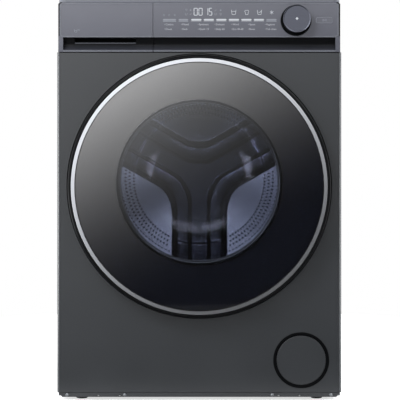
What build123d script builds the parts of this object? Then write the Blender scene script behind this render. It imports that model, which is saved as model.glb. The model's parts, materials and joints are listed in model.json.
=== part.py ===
"""Front load washing machine, as an assembly of separate pieces.

Millimetres. +X is the machine's right seen from the front, +Y runs back, +Z is up.
The origin is on the floor, at the middle of the footprint.
"""

from build123d import *
from math import asin, cos, degrees, radians, sin, sqrt
import os

os.makedirs("parts", exist_ok=True)

# ---------------------------------------------------------------- overall sizes
WIDTH = 600.0
HEIGHT = 850.0
DOOR_PROUD = 42.0            # how far the door stands out of the cabinet front
REAR_DOME = 15.0             # how far the rear service cover stands out
CABINET_DEPTH = 543.0
TOTAL_DEPTH = DOOR_PROUD + CABINET_DEPTH + REAR_DOME
FRONT = -TOTAL_DEPTH / 2 + DOOR_PROUD      # plane of the front panel
BACK = TOTAL_DEPTH / 2 - REAR_DOME         # plane of the rear panel
HALF = WIDTH / 2
SHEET = 1.0                  # sheet steel of the cabinet
GAP = 0.3                    # seat clearance between separate pieces
RUN = 0.05                   # radial clearance of a running fit

# ---------------------------------------------------------------- levels
BODY_BOTTOM = 7.0            # underside of the base, above the floor
SIDE_BOTTOM = 17.0
WORKTOP_HEIGHT = 10.0
WORKTOP_UNDER = HEIGHT - WORKTOP_HEIGHT
SIDE_TOP = WORKTOP_UNDER - GAP
CONSOLE_HEIGHT = 105.0
CONSOLE_TOP = SIDE_TOP
CONSOLE_BOTTOM = CONSOLE_TOP - CONSOLE_HEIGHT
CONSOLE_FACE = FRONT - 2.0   # the console stands a little proud of the front panel
CONSOLE_DEPTH = 24.0
CONSOLE_REAR = CONSOLE_FACE + CONSOLE_DEPTH
SEAM = 1.6                   # dark seam between console and front panel
PANEL_TOP = CONSOLE_BOTTOM - SEAM

# ---------------------------------------------------------------- door and drum
DOOR_Z = 452.0
DRUM_Z = 460.0
DOOR_RADIUS = 274.0          # dark outer frame
TRIM_OUTER = DOOR_RADIUS - 7.0
TRIM_INNER = TRIM_OUTER - 8.0
DISH_RADIUS = DOOR_RADIUS + 7.0   # shallow dish pressed in the front panel round the door
DISH_DEPTH = 6.0
DISH_FLOOR = FRONT + DISH_DEPTH
MOUTH_RADIUS = 187.0         # hole in the front panel
MOUTH_COLLAR = 8.0
DRUM_RADIUS = 246.5
DRUM_SHEET = 1.5
DRUM_FRONT = -178.0
DRUM_BACK = 176.0
DRUM_LIP_RADIUS = 182.0
TUB_INNER = 262.0
TUB_WALL = 4.0
TUB_FRONT = -196.0
TUB_BACK = 205.0
TUB_FLANGE = 280.0
TUB_MOUTH = 186.0
DOOR_SWING = 120.0

DRUM_AXIS = Axis((0, 0, DRUM_Z), (0, 1, 0))
DOOR_AXIS = Axis((0, 0, DOOR_Z), (0, 1, 0))
# Section planes through those axes: local x runs back, local y is the radius.
DRUM_SECTION = Plane(origin=(0, 0, DRUM_Z), x_dir=(0, 1, 0), z_dir=(1, 0, 0))
DOOR_SECTION = Plane(origin=(0, 0, DOOR_Z), x_dir=(0, 1, 0), z_dir=(1, 0, 0))


def facing(y):
    """Plane across the machine at depth y, with local x to the right and local y up."""
    return Plane.XZ.offset(-y)


def box(low, high, mode=Mode.ADD):
    """A block between two corners, in the part being built."""
    size = [b - a for a, b in zip(low, high)]
    middle = [(a + b) / 2 for a, b in zip(low, high)]
    with Locations(Location(tuple(middle))):
        Box(*size, mode=mode)


def ring(axis_x, axis_z, y0, y1, outer, inner=0.0, mode=Mode.ADD):
    """A disc or a ring about a front-to-back axis, between depths y0 and y1."""
    with BuildSketch(facing(y0)) as outline:
        with Locations((axis_x, axis_z)):
            Circle(outer)
            if inner > 0:
                Circle(inner, mode=Mode.SUBTRACT)
    extrude(outline.sketch, amount=y0 - y1, mode=mode)


def tube(x, y, z0, z1, outer, inner=0.0, mode=Mode.ADD):
    """A disc or a ring about an upright axis, between heights z0 and z1."""
    with BuildSketch(Plane.XY.offset(z0)) as outline:
        with Locations((x, y)):
            Circle(outer)
            if inner > 0:
                Circle(inner, mode=Mode.SUBTRACT)
    extrude(outline.sketch, amount=z1 - z0, mode=mode)


def turned(points, section=DRUM_SECTION, axis=DRUM_AXIS, mode=Mode.ADD):
    """A closed outline of (depth, radius) points turned round an axis."""
    with BuildSketch(section) as outline:
        with BuildLine():
            Polyline(*points, close=True)
        make_face()
    revolve(outline.sketch, axis=axis, mode=mode)


def save(part, name):
    """Label a finished piece and write it as its own STEP file."""
    part.label = name
    export_step(part, f"parts/{name}.step")


# ================================================================ cabinet
HEM = 6.0                    # rolled front edge of each side panel
HEM_RADIUS = 5.0
HEM_DEPTH = 14.0
REAR_FLANGE = 15.0
PRESSING = 2.0               # depth of the stiffening panel pressed in each side
PRESSING_MARGIN = 55.0
PRESSING_CORNER = 40.0

with BuildPart() as side_panel_right:
    with BuildSketch(Plane.XY.offset(SIDE_BOTTOM)):
        with BuildLine():
            Polyline(
                (HALF - HEM, FRONT + HEM_DEPTH),
                (HALF - HEM, FRONT),
                (HALF, FRONT),
                (HALF, BACK - SHEET),
                (HALF - REAR_FLANGE, BACK - SHEET),
                (HALF - REAR_FLANGE, BACK - 2 * SHEET),
                (HALF - SHEET, BACK - 2 * SHEET),
                (HALF - SHEET, FRONT + SHEET),
                (HALF - HEM + SHEET, FRONT + SHEET),
                (HALF - HEM + SHEET, FRONT + HEM_DEPTH),
                close=True,
            )
        make_face()
        front_corners = vertices().filter_by_position(Axis.X, HALF - 0.01, HALF + 0.01)
        fillet(front_corners.sort_by(Axis.Y)[0], radius=HEM_RADIUS)
        inner = vertices().filter_by_position(Axis.X, HALF - SHEET - 0.01, HALF - SHEET + 0.01)
        fillet(inner.sort_by(Axis.Y)[0], radius=HEM_RADIUS - SHEET)
    extrude(amount=SIDE_TOP - SIDE_BOTTOM)
    side_middle = ((FRONT + BACK) / 2, (SIDE_BOTTOM + SIDE_TOP) / 2)
    side_length = BACK - FRONT - 2 * PRESSING_MARGIN
    side_height = SIDE_TOP - SIDE_BOTTOM - 2 * PRESSING_MARGIN
    with BuildSketch(Plane.YZ.offset(HALF - SHEET - PRESSING)):
        with Locations(side_middle):
            RectangleRounded(side_length, side_height, PRESSING_CORNER)
    extrude(amount=PRESSING)
    with BuildSketch(Plane.YZ.offset(HALF - PRESSING)):
        with Locations(side_middle):
            RectangleRounded(
                side_length - 2 * SHEET, side_height - 2 * SHEET, PRESSING_CORNER - SHEET
            )
    extrude(amount=PRESSING, mode=Mode.SUBTRACT)
    # the front edge stands back behind the console
    box(
        (HALF - REAR_FLANGE, FRONT - 1, CONSOLE_BOTTOM - 0.8),
        (HALF + 1, CONSOLE_REAR + 2 * GAP, SIDE_TOP + 1),
        mode=Mode.SUBTRACT,
    )
save(side_panel_right.part, "side_panel_right")

with BuildPart() as side_panel_left:
    add(mirror(side_panel_right.part, about=Plane.YZ, mode=Mode.PRIVATE))
save(side_panel_left.part, "side_panel_left")

# ---------------------------------------------------------------- hinge and latch places
HINGE_X = -DOOR_RADIUS + 22.0
HINGE_Y = FRONT - 22.0
HINGE_PIN_RADIUS = 4.0
HINGE_KNUCKLE = 7.0
HINGE_ARM_HALF = 28.0        # half height of the door's hinge arm
HINGE_KNUCKLE_HEIGHT = 10.0
HINGE_REACH = 52.0           # half height of the notch in the door's frames
BRACKET_SHEET = 3.0
LATCH_X = 233.0
LATCH_HALF = 8.0             # half height of the hook
LATCH_SLOT_LEFT = 12.0
LATCH_SLOT_RIGHT = 17.0
LATCH_SLOT_HALF = 13.0

FILTER_X = 215.0
FILTER_Z = 84.6
FILTER_HOLE = 59.0
FILTER_COVER_RADIUS = 51.8

KNUCKLE_LOW = HINGE_ARM_HALF + GAP
KNUCKLE_HIGH = KNUCKLE_LOW + HINGE_KNUCKLE_HEIGHT
SLOT_X = (HINGE_X + 1.0, HINGE_X + 15.0)   # where the bracket's arms pass the panel
PANEL_HALF = HALF - HEM - 0.4
PANEL_RETURN = 12.0

with BuildPart() as front_panel:
    with BuildSketch(facing(FRONT)):
        with Locations((0, (SIDE_BOTTOM + PANEL_TOP) / 2)):
            Rectangle(2 * PANEL_HALF, PANEL_TOP - SIDE_BOTTOM)
        with Locations((0, DOOR_Z)):
            Circle(DISH_RADIUS, mode=Mode.SUBTRACT)
        with Locations((FILTER_X, FILTER_Z)):
            Circle(FILTER_HOLE, mode=Mode.SUBTRACT)
    extrude(amount=-SHEET)
    # dish: a sloping wall and a floor with the mouth and its collar
    turned(
        [
            (FRONT, DISH_RADIUS),
            (FRONT + SHEET, DISH_RADIUS),
            (DISH_FLOOR + SHEET, DISH_RADIUS - 1.5),
            (DISH_FLOOR + SHEET, DISH_RADIUS - 3),
            (DISH_FLOOR, DISH_RADIUS - 3),
            (DISH_FLOOR, DISH_RADIUS - 2.5),
            (FRONT, DISH_RADIUS - 1),
        ],
        DOOR_SECTION,
        DOOR_AXIS,
    )
    with BuildSketch(facing(DISH_FLOOR)):
        with Locations((0, DOOR_Z)):
            Circle(DISH_RADIUS - 2.5)
        with Locations((0, DRUM_Z)):
            Circle(MOUTH_RADIUS, mode=Mode.SUBTRACT)
        with Locations((LATCH_X + (LATCH_SLOT_RIGHT - LATCH_SLOT_LEFT) / 2, DOOR_Z)):
            Rectangle(LATCH_SLOT_LEFT + LATCH_SLOT_RIGHT, 2 * LATCH_SLOT_HALF, mode=Mode.SUBTRACT)
        slot_height = HINGE_KNUCKLE_HEIGHT + 2
        slot_middle = (KNUCKLE_LOW + KNUCKLE_HIGH) / 2
        with Locations(
            ((SLOT_X[0] + SLOT_X[1]) / 2, DOOR_Z + slot_middle),
            ((SLOT_X[0] + SLOT_X[1]) / 2, DOOR_Z - slot_middle),
        ):
            Rectangle(SLOT_X[1] - SLOT_X[0], slot_height, mode=Mode.SUBTRACT)
    extrude(amount=-SHEET)
    ring(0, DRUM_Z, DISH_FLOOR, DISH_FLOOR + MOUTH_COLLAR, MOUTH_RADIUS + SHEET, MOUTH_RADIUS)
    # returns at the sides and along the top
    for side in (-1, 1):
        edge = side * PANEL_HALF
        inward = edge - side * SHEET
        box(
            (min(edge, inward), FRONT, SIDE_BOTTOM),
            (max(edge, inward), FRONT + PANEL_RETURN, PANEL_TOP),
        )
    box(
        (-PANEL_HALF, FRONT, PANEL_TOP - SHEET),
        (PANEL_HALF, FRONT + PANEL_RETURN, PANEL_TOP),
    )
save(front_panel.part, "front_panel")

# ---------------------------------------------------------------- rail under the front panel
RAIL_TOP = SIDE_BOTTOM - 0.8
RAIL_CHAMFER = 7.0
RAIL_DEPTH = 14.0
RAIL_FRONT = FRONT + 0.8
RAIL_HALF = HALF - 4.0
SCREW_RADIUS = 3.6
RAIL_SCREWS = [-279.0, -157.0, 154.0, 278.0]
RAIL_HOLES = [-213.0, -168.0, 167.5, 211.5]
RAIL_MIDDLE = (BODY_BOTTOM + RAIL_TOP) / 2

with BuildPart() as front_base_rail:
    with BuildSketch(facing(RAIL_FRONT)):
        with Locations((0, RAIL_MIDDLE)):
            Rectangle(2 * RAIL_HALF, RAIL_TOP - BODY_BOTTOM)
        chamfer(vertices().group_by(Axis.Y)[0], RAIL_CHAMFER)
        with Locations(*[(x, RAIL_MIDDLE - 1) for x in RAIL_HOLES]):
            Circle(1.9, mode=Mode.SUBTRACT)
        with Locations(*[(x, RAIL_MIDDLE) for x in RAIL_SCREWS]):
            Circle(1.7, mode=Mode.SUBTRACT)
    extrude(amount=-2 * SHEET)
    box(
        (-RAIL_HALF, RAIL_FRONT, RAIL_TOP - SHEET),
        (RAIL_HALF, RAIL_FRONT + RAIL_DEPTH, RAIL_TOP),
    )
save(front_base_rail.part, "front_base_rail")

# ---------------------------------------------------------------- rear panel and service cover
SERVICE_RADIUS = 205.0
COVER_RADIUS = 222.0
COVER_SHEET = 1.2
DOME_RADIUS = 188.0
COVER_SCREWS = 8
COVER_SCREW_CIRCLE = 213.5
INLET_X = -HALF + 100.0
INLET_Z = HEIGHT - 70.0
INLET_HOLE = 15.0
DRAIN_X = 225.0
DRAIN_Z = 700.0
DRAIN_RADIUS = 10.0
DRAIN_TAIL = 9.0
GLAND_X = 250.0
GLAND_Z = 790.0
GLAND_RADIUS = 9.0
TRANSIT_HOLES = [(-150.0, 690.0), (150.0, 690.0), (-165.0, 205.0), (165.0, 205.0)]
TRANSIT_RADIUS = 12.0
REAR_HALF = HALF - 0.3

with BuildPart() as rear_panel:
    with BuildSketch(facing(BACK - SHEET)):
        with Locations((0, (SIDE_BOTTOM + SIDE_TOP) / 2)):
            Rectangle(2 * REAR_HALF, SIDE_TOP - SIDE_BOTTOM)
        with Locations((0, DRUM_Z)):
            Circle(SERVICE_RADIUS, mode=Mode.SUBTRACT)
        with Locations((INLET_X, INLET_Z)):
            Circle(INLET_HOLE, mode=Mode.SUBTRACT)
        with Locations((DRAIN_X, DRAIN_Z)):
            Circle(DRAIN_RADIUS + 1, mode=Mode.SUBTRACT)
        with Locations((GLAND_X, GLAND_Z)):
            Circle(GLAND_RADIUS, mode=Mode.SUBTRACT)
        with Locations(*TRANSIT_HOLES):
            Circle(TRANSIT_RADIUS, mode=Mode.SUBTRACT)
    extrude(amount=-SHEET)
save(rear_panel.part, "rear_panel")

with BuildPart() as rear_cover:
    rise = BACK + REAR_DOME
    turned(
        [
            (BACK, COVER_RADIUS),
            (BACK, DOME_RADIUS),
            (rise - COVER_SHEET, DOME_RADIUS - 18),
            (rise - COVER_SHEET, 110),
            (rise - 7 - COVER_SHEET, 98),
            (rise - 7 - COVER_SHEET, 60),
            (rise - COVER_SHEET, 48),
            (rise - COVER_SHEET, 0),
            (rise, 0),
            (rise, 48 + COVER_SHEET),
            (rise - 7, 60 + COVER_SHEET),
            (rise - 7, 98 - COVER_SHEET),
            (rise, 110 - COVER_SHEET),
            (rise, DOME_RADIUS - 18 + COVER_SHEET),
            (BACK + COVER_SHEET, DOME_RADIUS + COVER_SHEET),
            (BACK + COVER_SHEET, COVER_RADIUS),
        ]
    )
save(rear_cover.part, "rear_cover")

REAR_EDGE_SCREWS = [
    (side * (HALF - REAR_FLANGE / 2), z)
    for side in (-1, 1)
    for z in (SIDE_BOTTOM + 40, (SIDE_BOTTOM + SIDE_TOP) / 2, SIDE_TOP - 40)
]
HEAD_HEIGHT = 1.8


def screw_heads(seat_y, places, outward):
    """Button screw heads seated on the plane at seat_y; outward is -1 to the front, 1 to the back."""
    with BuildSketch(facing(seat_y)) as heads:
        with Locations(*places):
            Circle(SCREW_RADIUS)
    extrude(heads.sketch, amount=-outward * HEAD_HEIGHT)


with BuildPart() as cabinet_screws:
    screw_heads(RAIL_FRONT, [(x, RAIL_MIDDLE) for x in RAIL_SCREWS], -1)
    screw_heads(BACK, REAR_EDGE_SCREWS, 1)
    cover_places = [
        (
            COVER_SCREW_CIRCLE * cos(radians(360 / COVER_SCREWS * (i + 0.5))),
            DRUM_Z + COVER_SCREW_CIRCLE * sin(radians(360 / COVER_SCREWS * (i + 0.5))),
        )
        for i in range(COVER_SCREWS)
    ]
    screw_heads(BACK + COVER_SHEET, cover_places, 1)
save(cabinet_screws.part, "cabinet_screws")

with BuildPart() as rear_plugs:
    for x, z in TRANSIT_HOLES:
        ring(x, z, BACK, BACK + 2.5, TRANSIT_RADIUS + 4)
        ring(x, z, BACK - 8, BACK, TRANSIT_RADIUS - 0.2)
    # blind gland where the mains lead goes in
    ring(GLAND_X, GLAND_Z, BACK, BACK + 8, GLAND_RADIUS + 4)
    ring(GLAND_X, GLAND_Z, BACK - 12, BACK, GLAND_RADIUS - 0.2)
    # spigot for the drain hose, with a tail for the inner hose
    ring(DRAIN_X, DRAIN_Z, BACK, BACK + 2.5, DRAIN_RADIUS + 5)
    ring(DRAIN_X, DRAIN_Z, BACK - 1.5, BACK + 14, DRAIN_RADIUS)
    ring(DRAIN_X, DRAIN_Z, BACK - 7, BACK, DRAIN_TAIL)
    ring(DRAIN_X, DRAIN_Z, BACK - 8, BACK + 15, DRAIN_TAIL - 2, mode=Mode.SUBTRACT)
save(rear_plugs.part, "rear_plugs")

# ================================================================ base, feet, worktop
BASE_FLOOR = 3.0
BASE_HALF = HALF - SHEET - 0.5
BASE_RIM = 20.0
FOOT_X = 250.0
FOOT_INSET = 31.0
FOOT_PAD_RADIUS = 13.0
FOOT_PAD_HEIGHT = 5.5
STEM_RADIUS = 5.0
BOSS_RADIUS = 15.0
BOSS_TOP = 28.0
STEM_TOP = 42.0
FOOT_PLACES = {
    "front_left": (-FOOT_X, FRONT + FOOT_INSET),
    "front_right": (FOOT_X, FRONT + FOOT_INSET),
    "rear_left": (-FOOT_X, BACK - FOOT_INSET),
    "rear_right": (FOOT_X, BACK - FOOT_INSET),
}
BASE_FRONT = RAIL_FRONT + RAIL_DEPTH + GAP
BASE_BACK = BACK - 2 * SHEET - GAP

with BuildPart() as base_frame:
    box((-BASE_HALF, BASE_FRONT, BODY_BOTTOM), (BASE_HALF, BASE_BACK, BODY_BOTTOM + BASE_RIM))
    box(
        (-BASE_HALF + BASE_FLOOR, BASE_FRONT + BASE_FLOOR, BODY_BOTTOM + BASE_FLOOR),
        (BASE_HALF - BASE_FLOOR, BASE_BACK - BASE_FLOOR, BODY_BOTTOM + BASE_RIM + 1),
        mode=Mode.SUBTRACT,
    )
    for x, y in FOOT_PLACES.values():
        tube(x, y, BODY_BOTTOM, BOSS_TOP, BOSS_RADIUS)
    for x in (-120.0, 0.0, 120.0):
        box(
            (x - 1.5, BASE_FRONT + 1, BODY_BOTTOM + 1),
            (x + 1.5, BASE_BACK - 1, BODY_BOTTOM + 10),
        )
    for x, y in FOOT_PLACES.values():
        tube(x, y, BODY_BOTTOM - 1, BOSS_TOP + 1, STEM_RADIUS + RUN, mode=Mode.SUBTRACT)
save(base_frame.part, "base_frame")


def levelling_foot(x, y):
    """A round pad on a stem; the stem turns in the base's boss."""
    with BuildPart() as foot:
        tube(x, y, 0, FOOT_PAD_HEIGHT, FOOT_PAD_RADIUS)
        chamfer(foot.faces().sort_by(Axis.Z)[0].edges(), 1.5)
        tube(x, y, FOOT_PAD_HEIGHT, STEM_TOP, STEM_RADIUS)
    return foot.part


for place, (x, y) in FOOT_PLACES.items():
    save(levelling_foot(x, y), f"foot_{place}")

with BuildPart() as foot_locknuts:
    for x, y in FOOT_PLACES.values():
        with BuildSketch(Plane.XY.offset(BOSS_TOP + 0.1)):
            with Locations((x, y)):
                RegularPolygon(9.0, 6)
                Circle(STEM_RADIUS + RUN, mode=Mode.SUBTRACT)
        extrude(amount=6)
save(foot_locknuts.part, "foot_locknuts")

WORKTOP_FRONT = FRONT + 1.5
WORKTOP_HALF = HALF - 2.5
WORKTOP_CORNER = 16.0
WORKTOP_BORDER = 22.0
BOARD_THICKNESS = 7.0
WORKTOP_EDGE = 3.5
worktop_middle = (0, (WORKTOP_FRONT + BACK) / 2)
worktop_size = (2 * WORKTOP_HALF, BACK - WORKTOP_FRONT)

with BuildPart() as worktop_frame:
    with BuildSketch(Plane.XY.offset(WORKTOP_UNDER)):
        with Locations(worktop_middle):
            RectangleRounded(*worktop_size, WORKTOP_CORNER)
    extrude(amount=WORKTOP_HEIGHT)
    fillet(worktop_frame.faces().sort_by(Axis.Z)[-1].edges(), WORKTOP_EDGE)
    with BuildSketch(Plane.XY.offset(HEIGHT - BOARD_THICKNESS)):
        with Locations(worktop_middle):
            RectangleRounded(*[s - 2 * WORKTOP_BORDER for s in worktop_size], 6.0)
    extrude(amount=BOARD_THICKNESS, mode=Mode.SUBTRACT)
    with BuildSketch(Plane.XY.offset(WORKTOP_UNDER)):
        with Locations(worktop_middle):
            RectangleRounded(*[s - 2 * WORKTOP_BORDER - 30 for s in worktop_size], 6.0)
    extrude(amount=WORKTOP_HEIGHT, mode=Mode.SUBTRACT)
save(worktop_frame.part, "worktop_frame")

with BuildPart() as worktop_board:
    with BuildSketch(Plane.XY.offset(HEIGHT - BOARD_THICKNESS)):
        with Locations(worktop_middle):
            RectangleRounded(*[s - 2 * WORKTOP_BORDER - 0.6 for s in worktop_size], 5.7)
    extrude(amount=BOARD_THICKNESS - 0.4)
save(worktop_board.part, "worktop_board")

BRACE_HEIGHT = 10.0
BRACE_DEPTH = 40.0
SPRING_X = HALF - 38.0
SPRING_Y = 30.0
SPRING_HOOK_Z = HEIGHT - 50.0        # where the springs hang from the middle brace
BRACE_FRONTS = (FRONT + 28.0, SPRING_Y - BRACE_DEPTH / 2, BACK - 62.0)
HOOK_SHEET = 3.0
with BuildPart() as top_braces:
    for y in BRACE_FRONTS:
        box(
            (-BASE_HALF, y, WORKTOP_UNDER - SHEET - GAP),
            (BASE_HALF, y + BRACE_DEPTH, WORKTOP_UNDER - GAP),
        )
        for edge in (y, y + BRACE_DEPTH - SHEET):
            box(
                (-BASE_HALF, edge, WORKTOP_UNDER - BRACE_HEIGHT - GAP),
                (BASE_HALF, edge + SHEET, WORKTOP_UNDER - GAP),
            )
    # hook plates on the middle brace for the drum's springs
    for x in (-SPRING_X, SPRING_X):
        box(
            (x - HOOK_SHEET / 2, SPRING_Y - 14, SPRING_HOOK_Z - 8),
            (x + HOOK_SHEET / 2, SPRING_Y + 14, WORKTOP_UNDER - GAP - 0.2),
        )
        with BuildSketch(Plane.YZ.offset(x - HOOK_SHEET)) as eye:
            with Locations((SPRING_Y, SPRING_HOOK_Z)):
                Circle(4.0)
        extrude(eye.sketch, amount=2 * HOOK_SHEET, mode=Mode.SUBTRACT)
save(top_braces.part, "top_braces")

# ================================================================ console
CONSOLE_WALL = 2.5
CONSOLE_HALF = HALF - 3.0
CONSOLE_CORNER = 7.0
FASCIA_BOTTOM = CONSOLE_TOP - 74.5         # where the flat face ends and the groove starts
GROOVE_DEPTH = 15.0
GROOVE_DEEPEST = CONSOLE_BOTTOM + 17.0
LIP_HEIGHT = 4.0
GROOVE_END = 10.0                          # solid end blocks outside the groove
DRAWER_SEAM_X = -HALF + 202.5
DRAWER_SEAM = 0.9


def console_outline(groove):
    """Section of the console strip: flat face above, a finger groove and a narrow lip below."""
    with BuildSketch(Plane.YZ) as outline:
        with BuildLine():
            Line((CONSOLE_REAR, CONSOLE_TOP), (CONSOLE_FACE, CONSOLE_TOP))
            Line((CONSOLE_FACE, CONSOLE_TOP), (CONSOLE_FACE, FASCIA_BOTTOM))
            lip = (CONSOLE_FACE, CONSOLE_BOTTOM + LIP_HEIGHT)
            if groove:
                deepest = (CONSOLE_FACE + GROOVE_DEPTH, GROOVE_DEEPEST)
                ThreePointArc(
                    (CONSOLE_FACE, FASCIA_BOTTOM),
                    (
                        CONSOLE_FACE + 0.72 * GROOVE_DEPTH,
                        GROOVE_DEEPEST + 0.62 * (FASCIA_BOTTOM - GROOVE_DEEPEST),
                    ),
                    deepest,
                )
                ThreePointArc(
                    deepest,
                    (
                        CONSOLE_FACE + 0.60 * GROOVE_DEPTH,
                        lip[1] + 0.42 * (GROOVE_DEEPEST - lip[1]),
                    ),
                    lip,
                )
            else:
                Line((CONSOLE_FACE, FASCIA_BOTTOM), lip)
            Line(lip, (CONSOLE_FACE, CONSOLE_BOTTOM))
            Line((CONSOLE_FACE, CONSOLE_BOTTOM), (CONSOLE_REAR, CONSOLE_BOTTOM))
            Line((CONSOLE_REAR, CONSOLE_BOTTOM), (CONSOLE_REAR, CONSOLE_TOP))
        make_face()
        face_top = vertices().filter_by_position(Axis.X, CONSOLE_FACE - 0.01, CONSOLE_FACE + 0.01)
        fillet(face_top.sort_by(Axis.Y)[-1], radius=2.0)
    return outline.sketch


def console_strip(x0, x1, groove, mode=Mode.ADD):
    """A stretch of that section between two places along the console."""
    section = Pos(x0, 0, 0) * console_outline(groove)
    extrude(section, amount=x1 - x0, dir=(1, 0, 0), mode=mode)


def hollow_console(x0, x1):
    """Open the strip from behind, leaving the wall of its face and of its groove."""
    cavities = (
        (CONSOLE_FACE + CONSOLE_WALL, FASCIA_BOTTOM + 3, CONSOLE_TOP - CONSOLE_WALL),
        (CONSOLE_FACE + GROOVE_DEPTH + CONSOLE_WALL, CONSOLE_BOTTOM + CONSOLE_WALL, CONSOLE_TOP - 40),
    )
    for y, low, high in cavities:
        box((x0, y, low), (x1, CONSOLE_REAR + 1, high), mode=Mode.SUBTRACT)


def round_console_corner(side):
    """Round the strip's outer top corner, seen from the front."""
    with BuildSketch(facing(CONSOLE_FACE - 1)) as corner:
        with Locations((side * (CONSOLE_HALF - CONSOLE_CORNER / 2), CONSOLE_TOP - CONSOLE_CORNER / 2)):
            Rectangle(CONSOLE_CORNER, CONSOLE_CORNER)
        with Locations((side * (CONSOLE_HALF - CONSOLE_CORNER), CONSOLE_TOP - CONSOLE_CORNER)):
            Circle(CONSOLE_CORNER, mode=Mode.SUBTRACT)
    extrude(corner.sketch, amount=-(CONSOLE_DEPTH + 2), mode=Mode.SUBTRACT)


KNOB_X = HALF - 95.3
KNOB_Z = CONSOLE_TOP - 36.7
KNOB_RADIUS = 29.5
KNOB_PROUD = 19.0
KNOB_SHAFT = 3.0
KNOB_SEAT_RADIUS = 31.0
BUTTON_X = HALF - 36.5
BUTTON_Z = CONSOLE_TOP - 38.2
BUTTON_SIZE = (35.0, 13.2)
BUTTON_GAP = 0.25
BUTTON_TRAVEL = 1.5
BUTTON_CORNER = 2.5
SWITCH_GAP = 0.4
FASCIA_LEFT = DRAWER_SEAM_X + DRAWER_SEAM / 2

with BuildPart() as console_fascia:
    console_strip(FASCIA_LEFT, CONSOLE_HALF - GROOVE_END, True)
    hollow_console(FASCIA_LEFT + CONSOLE_WALL, CONSOLE_HALF - GROOVE_END - CONSOLE_WALL)
    console_strip(CONSOLE_HALF - GROOVE_END, CONSOLE_HALF, False)
    round_console_corner(1)
    ring(KNOB_X, KNOB_Z, CONSOLE_FACE, CONSOLE_REAR, KNOB_SHAFT + 1.0, mode=Mode.SUBTRACT)
    ring(KNOB_X, KNOB_Z, CONSOLE_FACE, CONSOLE_FACE + 0.8, KNOB_SEAT_RADIUS, mode=Mode.SUBTRACT)
    with BuildSketch(facing(CONSOLE_FACE)):
        with Locations((BUTTON_X, BUTTON_Z)):
            RectangleRounded(*BUTTON_SIZE, BUTTON_CORNER)
    extrude(amount=-(CONSOLE_WALL + 1), mode=Mode.SUBTRACT)
save(console_fascia.part, "console_fascia")

BOARD_Y = CONSOLE_REAR - 6.0               # front face of the circuit board
PCB = 1.6
FRAME_Y = CONSOLE_REAR + GAP
DRAWER_WINDOW = (-HALF + 6.0, DRAWER_SEAM_X - 3.5)      # where the drawer passes the console frame
FRAME_SHEET = 2.5
with BuildPart() as console_frame:
    box(
        (-CONSOLE_HALF, FRAME_Y, CONSOLE_BOTTOM),
        (CONSOLE_HALF, FRAME_Y + FRAME_SHEET, CONSOLE_TOP - 11),
    )
    box(
        (DRAWER_WINDOW[0], FRAME_Y - 1, CONSOLE_BOTTOM + 4),
        (DRAWER_WINDOW[1], FRAME_Y + 6, CONSOLE_TOP - 14),
        mode=Mode.SUBTRACT,
    )
    # posts that carry the circuit board
    for x in (DRAWER_SEAM_X + 37.5, 60.0, HALF - 150.0, HALF - 30.0):
        for z in (CONSOLE_TOP - 20, CONSOLE_TOP - 65):
            with BuildSketch(facing(FRAME_Y)):
                with Locations((x, z)):
                    Circle(3.0)
            extrude(amount=FRAME_Y - BOARD_Y - PCB)
save(console_frame.part, "console_frame")

ENCODER_SIZE = 13.0
BOARD_LEFT = DRAWER_SEAM_X + 17.5
with BuildPart() as control_board:
    box((BOARD_LEFT, BOARD_Y, CONSOLE_TOP - 70), (HALF - 17, BOARD_Y + PCB, CONSOLE_TOP - 8))
    ring(KNOB_X, KNOB_Z, BOARD_Y - 1, BOARD_Y + PCB + 1, KNOB_SHAFT + RUN, mode=Mode.SUBTRACT)
    # display block behind the fascia
    box(
        (BOARD_LEFT, CONSOLE_FACE + CONSOLE_WALL + 1, CONSOLE_TOP - 40),
        (HALF - 160, BOARD_Y, CONSOLE_TOP - 12),
    )
    # start switch
    box((BUTTON_X - 3, BOARD_Y - 4, BUTTON_Z - 3), (BUTTON_X + 3, BOARD_Y, BUTTON_Z + 3))
    # encoder body round the knob's shaft
    with BuildSketch(facing(BOARD_Y)):
        with Locations((KNOB_X, KNOB_Z)):
            Rectangle(ENCODER_SIZE, ENCODER_SIZE)
            Circle(KNOB_SHAFT + RUN, mode=Mode.SUBTRACT)
    extrude(amount=7)
save(control_board.part, "control_board")

with BuildPart() as program_knob:
    ring(KNOB_X, KNOB_Z, CONSOLE_FACE - KNOB_PROUD, CONSOLE_FACE - 0.4, KNOB_RADIUS)
    knob_face = program_knob.faces().sort_by(Axis.Y)[0]
    fillet(knob_face.edges(), 2.0)
    ring(
        KNOB_X, KNOB_Z, CONSOLE_FACE - KNOB_PROUD, CONSOLE_FACE - KNOB_PROUD + 1.0,
        KNOB_RADIUS - 5, mode=Mode.SUBTRACT,
    )
    ring(
        KNOB_X, KNOB_Z, CONSOLE_FACE - KNOB_PROUD + 4, CONSOLE_FACE - 0.4,
        KNOB_RADIUS - 2.5, 6.0, mode=Mode.SUBTRACT,
    )
    ring(KNOB_X, KNOB_Z, CONSOLE_FACE - 0.4, BOARD_Y + PCB, KNOB_SHAFT)
save(program_knob.part, "program_knob")

with BuildPart() as start_button:
    with BuildSketch(facing(CONSOLE_FACE - 0.3)):
        with Locations((BUTTON_X, BUTTON_Z)):
            RectangleRounded(
                BUTTON_SIZE[0] - 2 * BUTTON_GAP,
                BUTTON_SIZE[1] - 2 * BUTTON_GAP,
                BUTTON_CORNER - BUTTON_GAP,
            )
    extrude(amount=-(CONSOLE_WALL + 1.3))
    button_back = CONSOLE_FACE + CONSOLE_WALL + 1.0
    ring(BUTTON_X, BUTTON_Z, button_back, BOARD_Y - 4 - BUTTON_TRAVEL - SWITCH_GAP, 2.5)
save(start_button.part, "start_button")

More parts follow.
